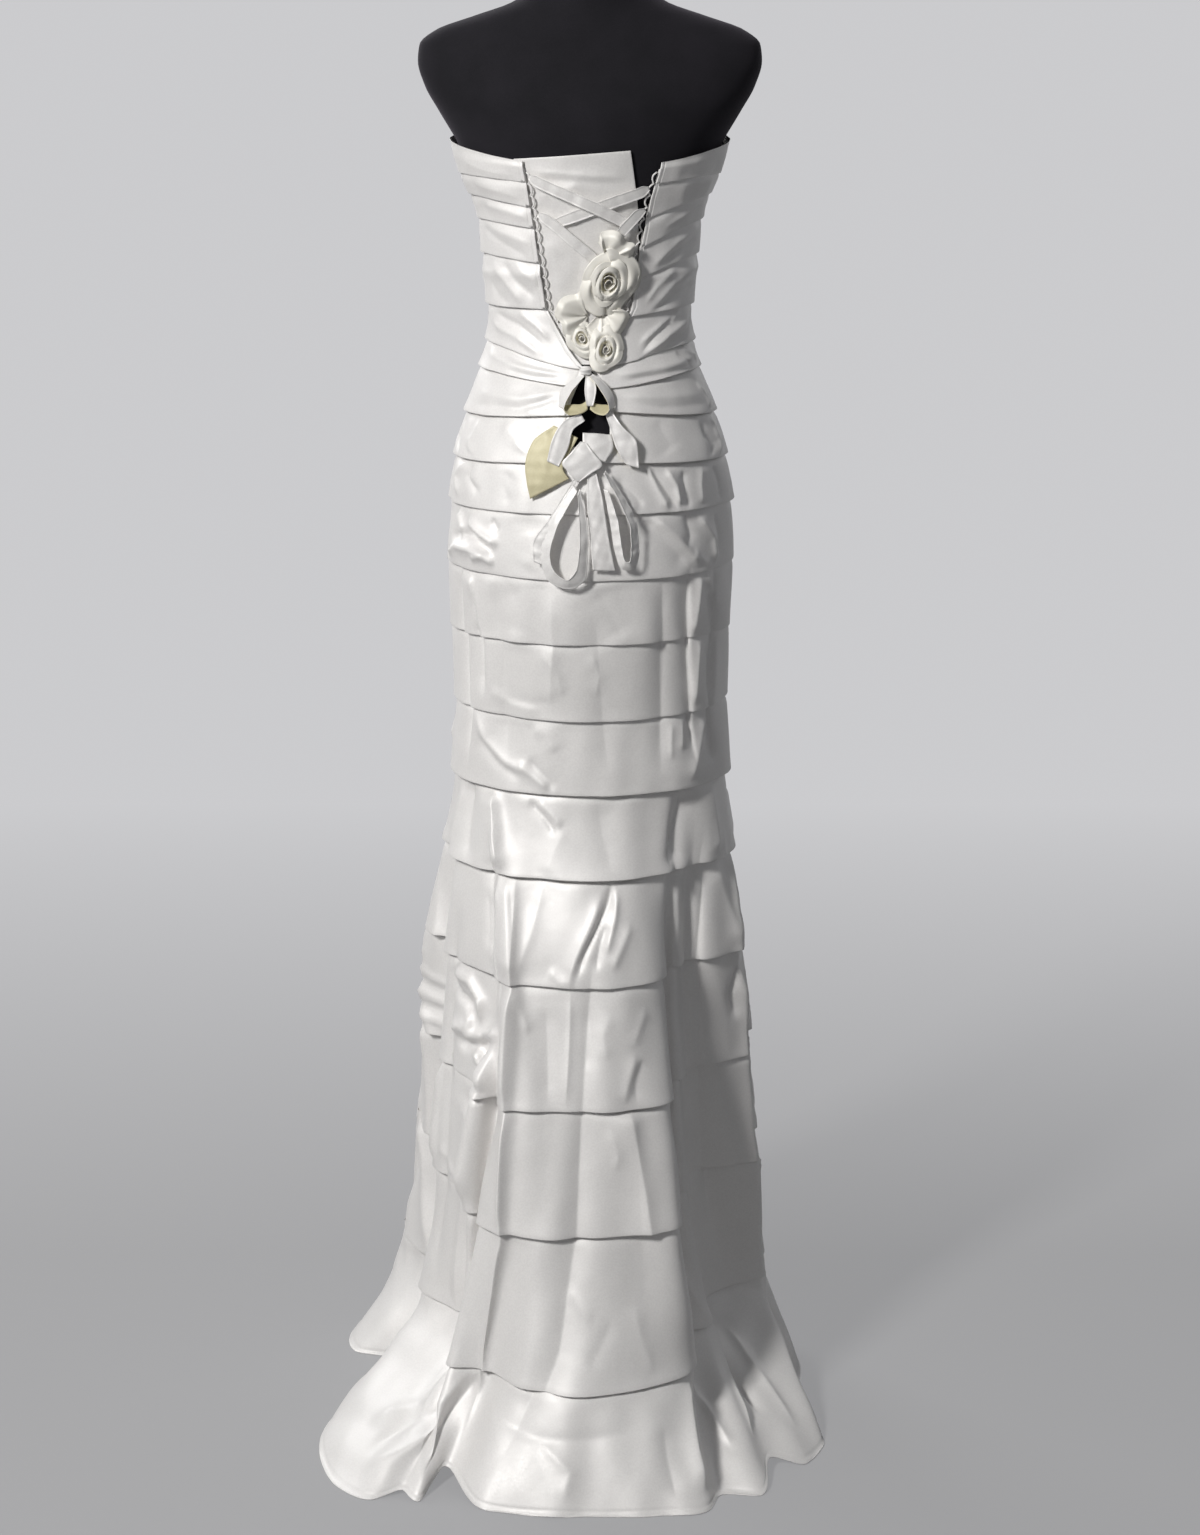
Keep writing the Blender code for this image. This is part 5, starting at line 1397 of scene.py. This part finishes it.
def build_knot():
    """The knot of the bow: ribbon wound round itself, with soft turns and a pinched waist."""
    rows, columns = KNOT_GRID
    v = np.linspace(0.02, math.pi - 0.02, rows)[:, None]
    turn = np.linspace(0, 2 * math.pi, columns, endpoint=False)[None, :]
    ridges = 1 + 0.09 * np.sin(3 * v * 2 + 1.5 * np.sin(turn)) + 0.05 * np.sin(2 * turn + 3 * v)
    reach = np.sin(v) ** 0.7 * ridges
    wide, deep, tall = (size / 2 for size in KNOT_SIZE)
    grid = in_frame(back_frame(*KNOT_PLACE), wide * reach * np.cos(turn), tall * np.cos(v) + 0 * turn,
                    -deep * reach * np.sin(turn))
    stand_in(new_object("bow_knot_satin", grid.reshape(-1, 3), grid_faces(rows, columns, True)), "bow_knot")


def build_back_trim():
    """Everything that is sewn to the laced back."""
    build_panel()
    build_lace_loops()
    for name, width, stations in LACING:
        shares = [PINCHES[0]] + [1.0] * (len(stations) - 2) + [PINCHES[1]]
        pinched = [(*station, width * share) for station, share in zip(stations, shares)]
        ribbon(name, pinched)
    for rose in ROSES:
        build_rose(*rose)
    for petal in PETALS:
        build_petal(*petal)
    build_knot()
    for name, stations in BOW:
        cream = name in CREAM_OUTSIDE
        outside = SATIN_CREAM if cream else SATIN
        inside = SATIN_CREAM if cream or name in CREAM_INSIDE else SATIN
        band(name, stations, outside, inside)


# --- the form -------------------------------------------------------------------------------------

# How far the form lies inside the figure: height, distance.
FORM_INSET = (
    (0.800, 0.0050),
    (1.090, 0.0050),
    (1.145, 0.0018),
    (1.180, 0.0018),
    (1.200, 0.0052),
    (1.420, 0.0052),
)
FORM_GRID = (90, 60, 176)     # rows under the shoulders, rows above, columns
FORM_BOTTOM = 0.8002
FORM_JOIN = 1.420             # here the table of the shoulders takes over
# The neck's lid: half width and half depth, then the profile as (share of the radius, height).
LID_SIZE = (0.0565, 0.0535)
LID_PROFILE = ((0.0, 0.0118), (0.80, 0.0117), (0.90, 0.0108), (0.97, 0.0090), (1.0, 0.0070), (1.0, 0.0035),
               (0.97, 0.0012), (0.90, 0.0006))


def build_form():
    """The form's torso and the lid of its neck. The pole and base keep their CAD shapes."""
    below, above, count = FORM_GRID
    angles = np.linspace(0, 2 * math.pi, count, endpoint=False)
    lower = np.linspace(FORM_BOTTOM, FORM_JOIN, below)
    upper = np.linspace(FORM_JOIN, NECK_TOP - 0.0005, above + 1)[1:]
    inset = table(FORM_INSET, lower)
    place, normal = figure_points(angles[None, :], lower[:, None])
    place = place - normal * inset[:, :1][..., None]
    shoulders, _ = figure_points(angles[None, :], upper[:, None], SHOULDERS)
    plan = np.concatenate([place, shoulders])[::-1]
    z = np.concatenate([lower, upper])[::-1]
    grid = lifted(plan, np.broadcast_to(z[:, None], plan.shape[:2]))
    torso = new_object("form_torso_cover", grid.reshape(-1, 3), grid_faces(below + above, count, True))
    stand_in(torso, "form_torso", JERSEY)
    wide, deep = LID_SIZE
    ring = [[(wide * share * math.sin(angle), -deep * share * math.cos(angle), NECK_TOP + rise)
             for angle in angles] for share, rise in LID_PROFILE]
    lid = new_object("form_neck_lid", np.array(ring).reshape(-1, 3), grid_faces(len(ring), count, True))
    stand_in(lid, "form_neck_cap", ENAMEL)
    for name in ("form_pole", "form_base"):
        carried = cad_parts[name]
        carried.data.materials.clear()
        carried.data.materials.append(ENAMEL)
    return torso


# --- stage: a pale paper sweep and soft lamps -----------------------------------------------------

PAPER = (0.26, 0.26, 0.265)
PAPER_SEEN = (0.60, 0.60, 0.615)
BACKDROP_Y = 5.0
BACKDROP_BEND = 1.6
PAPER_REACH = 9.0             # how far the paper goes to each side and towards the camera
PAPER_TOP = 7.0
# Lamps: name, place, size, watts, colour.
LAMPS = (
    ("key", (-2.05, -2.6, 3.0), (0.5, 0.8), 120, (1.0, 0.985, 0.965)),
    ("left", (-3.2, -0.6, 1.9), (0.5, 1.0), 5, (1.0, 0.985, 0.965)),
    ("fill", (2.9, 0.2, 1.7), (1.0, 1.8), 2, (0.93, 0.96, 1.0)),
    ("front_left", (-1.8, 2.6, 2.6), (1.6, 1.2), 45, (1.0, 1.0, 1.0)),
    ("front_right", (2.0, 2.6, 2.0), (1.2, 1.2), 6, (1.0, 1.0, 1.0)),
)
LAMP_AIM = (0.0, 0.0, 0.80)
CAMERA_PLACE = (0.0105, -3.02, 1.56)
CAMERA_TILT = 15.3            # degrees down
LENS = 65.67
SENSOR_HEIGHT = 36.0


def add_lamp(name, place, size, watts, colour):
    """A soft rectangular lamp turned towards the gown."""
    data = bpy.data.lights.new(name, "AREA")
    data.shape = "RECTANGLE"
    data.size, data.size_y = size
    data.energy = watts
    data.color = colour
    made = bpy.data.objects.new(name, data)
    made.location = place
    made.rotation_euler = (Vector(LAMP_AIM) - Vector(place)).to_track_quat("-Z", "Y").to_euler()
    bpy.context.collection.objects.link(made)


def seen_by_camera(tree):
    """1 for what the camera sees straight, mirrored or through glass, and 0 for light that bounces."""
    path = node(tree, "ShaderNodeLightPath")
    seen = path.outputs["Is Camera Ray"]
    for other in ("Is Glossy Ray", "Is Transmission Ray"):
        seen = math_node(tree, "MAXIMUM", seen, path.outputs[other])
    return seen


def mix_shaders(tree, share, lit, seen, target):
    """Give an output node a mix of a lit shader and one for the camera's eye."""
    mix = node(tree, "ShaderNodeMixShader")
    tree.links.new(share, mix.inputs["Fac"])
    tree.links.new(lit.outputs[0], mix.inputs[1])
    tree.links.new(seen.outputs[0], mix.inputs[2])
    tree.links.new(mix.outputs[0], tree.nodes[target].inputs["Surface"])


def backdrop_material():
    """Pale paper. Far behind the object the camera sees its plain colour, so that it stays even."""
    made, tree, shader, _ = new_material("backdrop_paper", Base_Color=(*PAPER, 1.0), Roughness=0.9)
    plain = node(tree, "ShaderNodeEmission", Color=(*PAPER_SEEN, 1.0), Strength=1.0)
    split = node(tree, "ShaderNodeSeparateXYZ")
    tree.links.new(node(tree, "ShaderNodeTexCoord").outputs["Object"], split.inputs[0])
    far = ramp(tree, split.outputs["Y"], 0.3, 2.4, 0.45, 1.0)
    share = math_node(tree, "MULTIPLY", far, seen_by_camera(tree))
    mix_shaders(tree, share, shader, plain, "Material Output")
    return made


def build_stage():
    """A sweep of pale paper, soft lamps with the key at the left, and a dim even surround."""
    bend = [(BACKDROP_Y + BACKDROP_BEND * math.sin(a), BACKDROP_BEND * (1 - math.cos(a)))
            for a in np.linspace(0, math.pi / 2, 16)]
    profile = [(-PAPER_REACH, 0.0)] + bend + [(BACKDROP_Y + BACKDROP_BEND, PAPER_TOP)]
    points = np.array([[(x, y, z) for x in (-PAPER_REACH, PAPER_REACH)] for y, z in profile])
    paper = new_object("studio_paper", points.reshape(-1, 3), grid_faces(len(profile), 2, False))
    paper.data.materials.append(backdrop_material())
    world = bpy.data.worlds.new("studio")
    world.use_nodes = True
    tree = world.node_tree
    background = tree.nodes["Background"]
    background.inputs["Color"].default_value = (0.90, 0.95, 1.0, 1.0)
    background.inputs["Strength"].default_value = 0.035
    seen = node(tree, "ShaderNodeBackground", Color=(*PAPER_SEEN, 1.0), Strength=1.0)
    mix_shaders(tree, seen_by_camera(tree), background, seen, "World Output")
    bpy.context.scene.world = world
    for lamp in LAMPS:
        add_lamp(*lamp)


def build_camera():
    """A camera behind the gown, a little above its middle and tilted down."""
    data = bpy.data.cameras.new("camera")
    data.sensor_fit = "VERTICAL"
    data.sensor_height = SENSOR_HEIGHT
    data.lens = LENS
    camera = bpy.data.objects.new("camera", data)
    camera.location = CAMERA_PLACE
    camera.rotation_euler = (math.radians(90 - CAMERA_TILT), 0.0, 0.0)
    bpy.context.collection.objects.link(camera)
    bpy.context.scene.camera = camera


# --- everything -----------------------------------------------------------------------------------

def main():
    """The whole scene, in the order in which pieces rest on each other."""
    bpy.context.scene.view_settings.view_transform = "Standard"
    build_camera()
    torso = build_form()
    for number, (above, tier) in enumerate(zip(TIERS, TIERS[1:])):
        build_tier(above, tier, number)
    build_floor_tier(TIERS[-1], 99)
    build_back_trim()
    build_stage()


main()
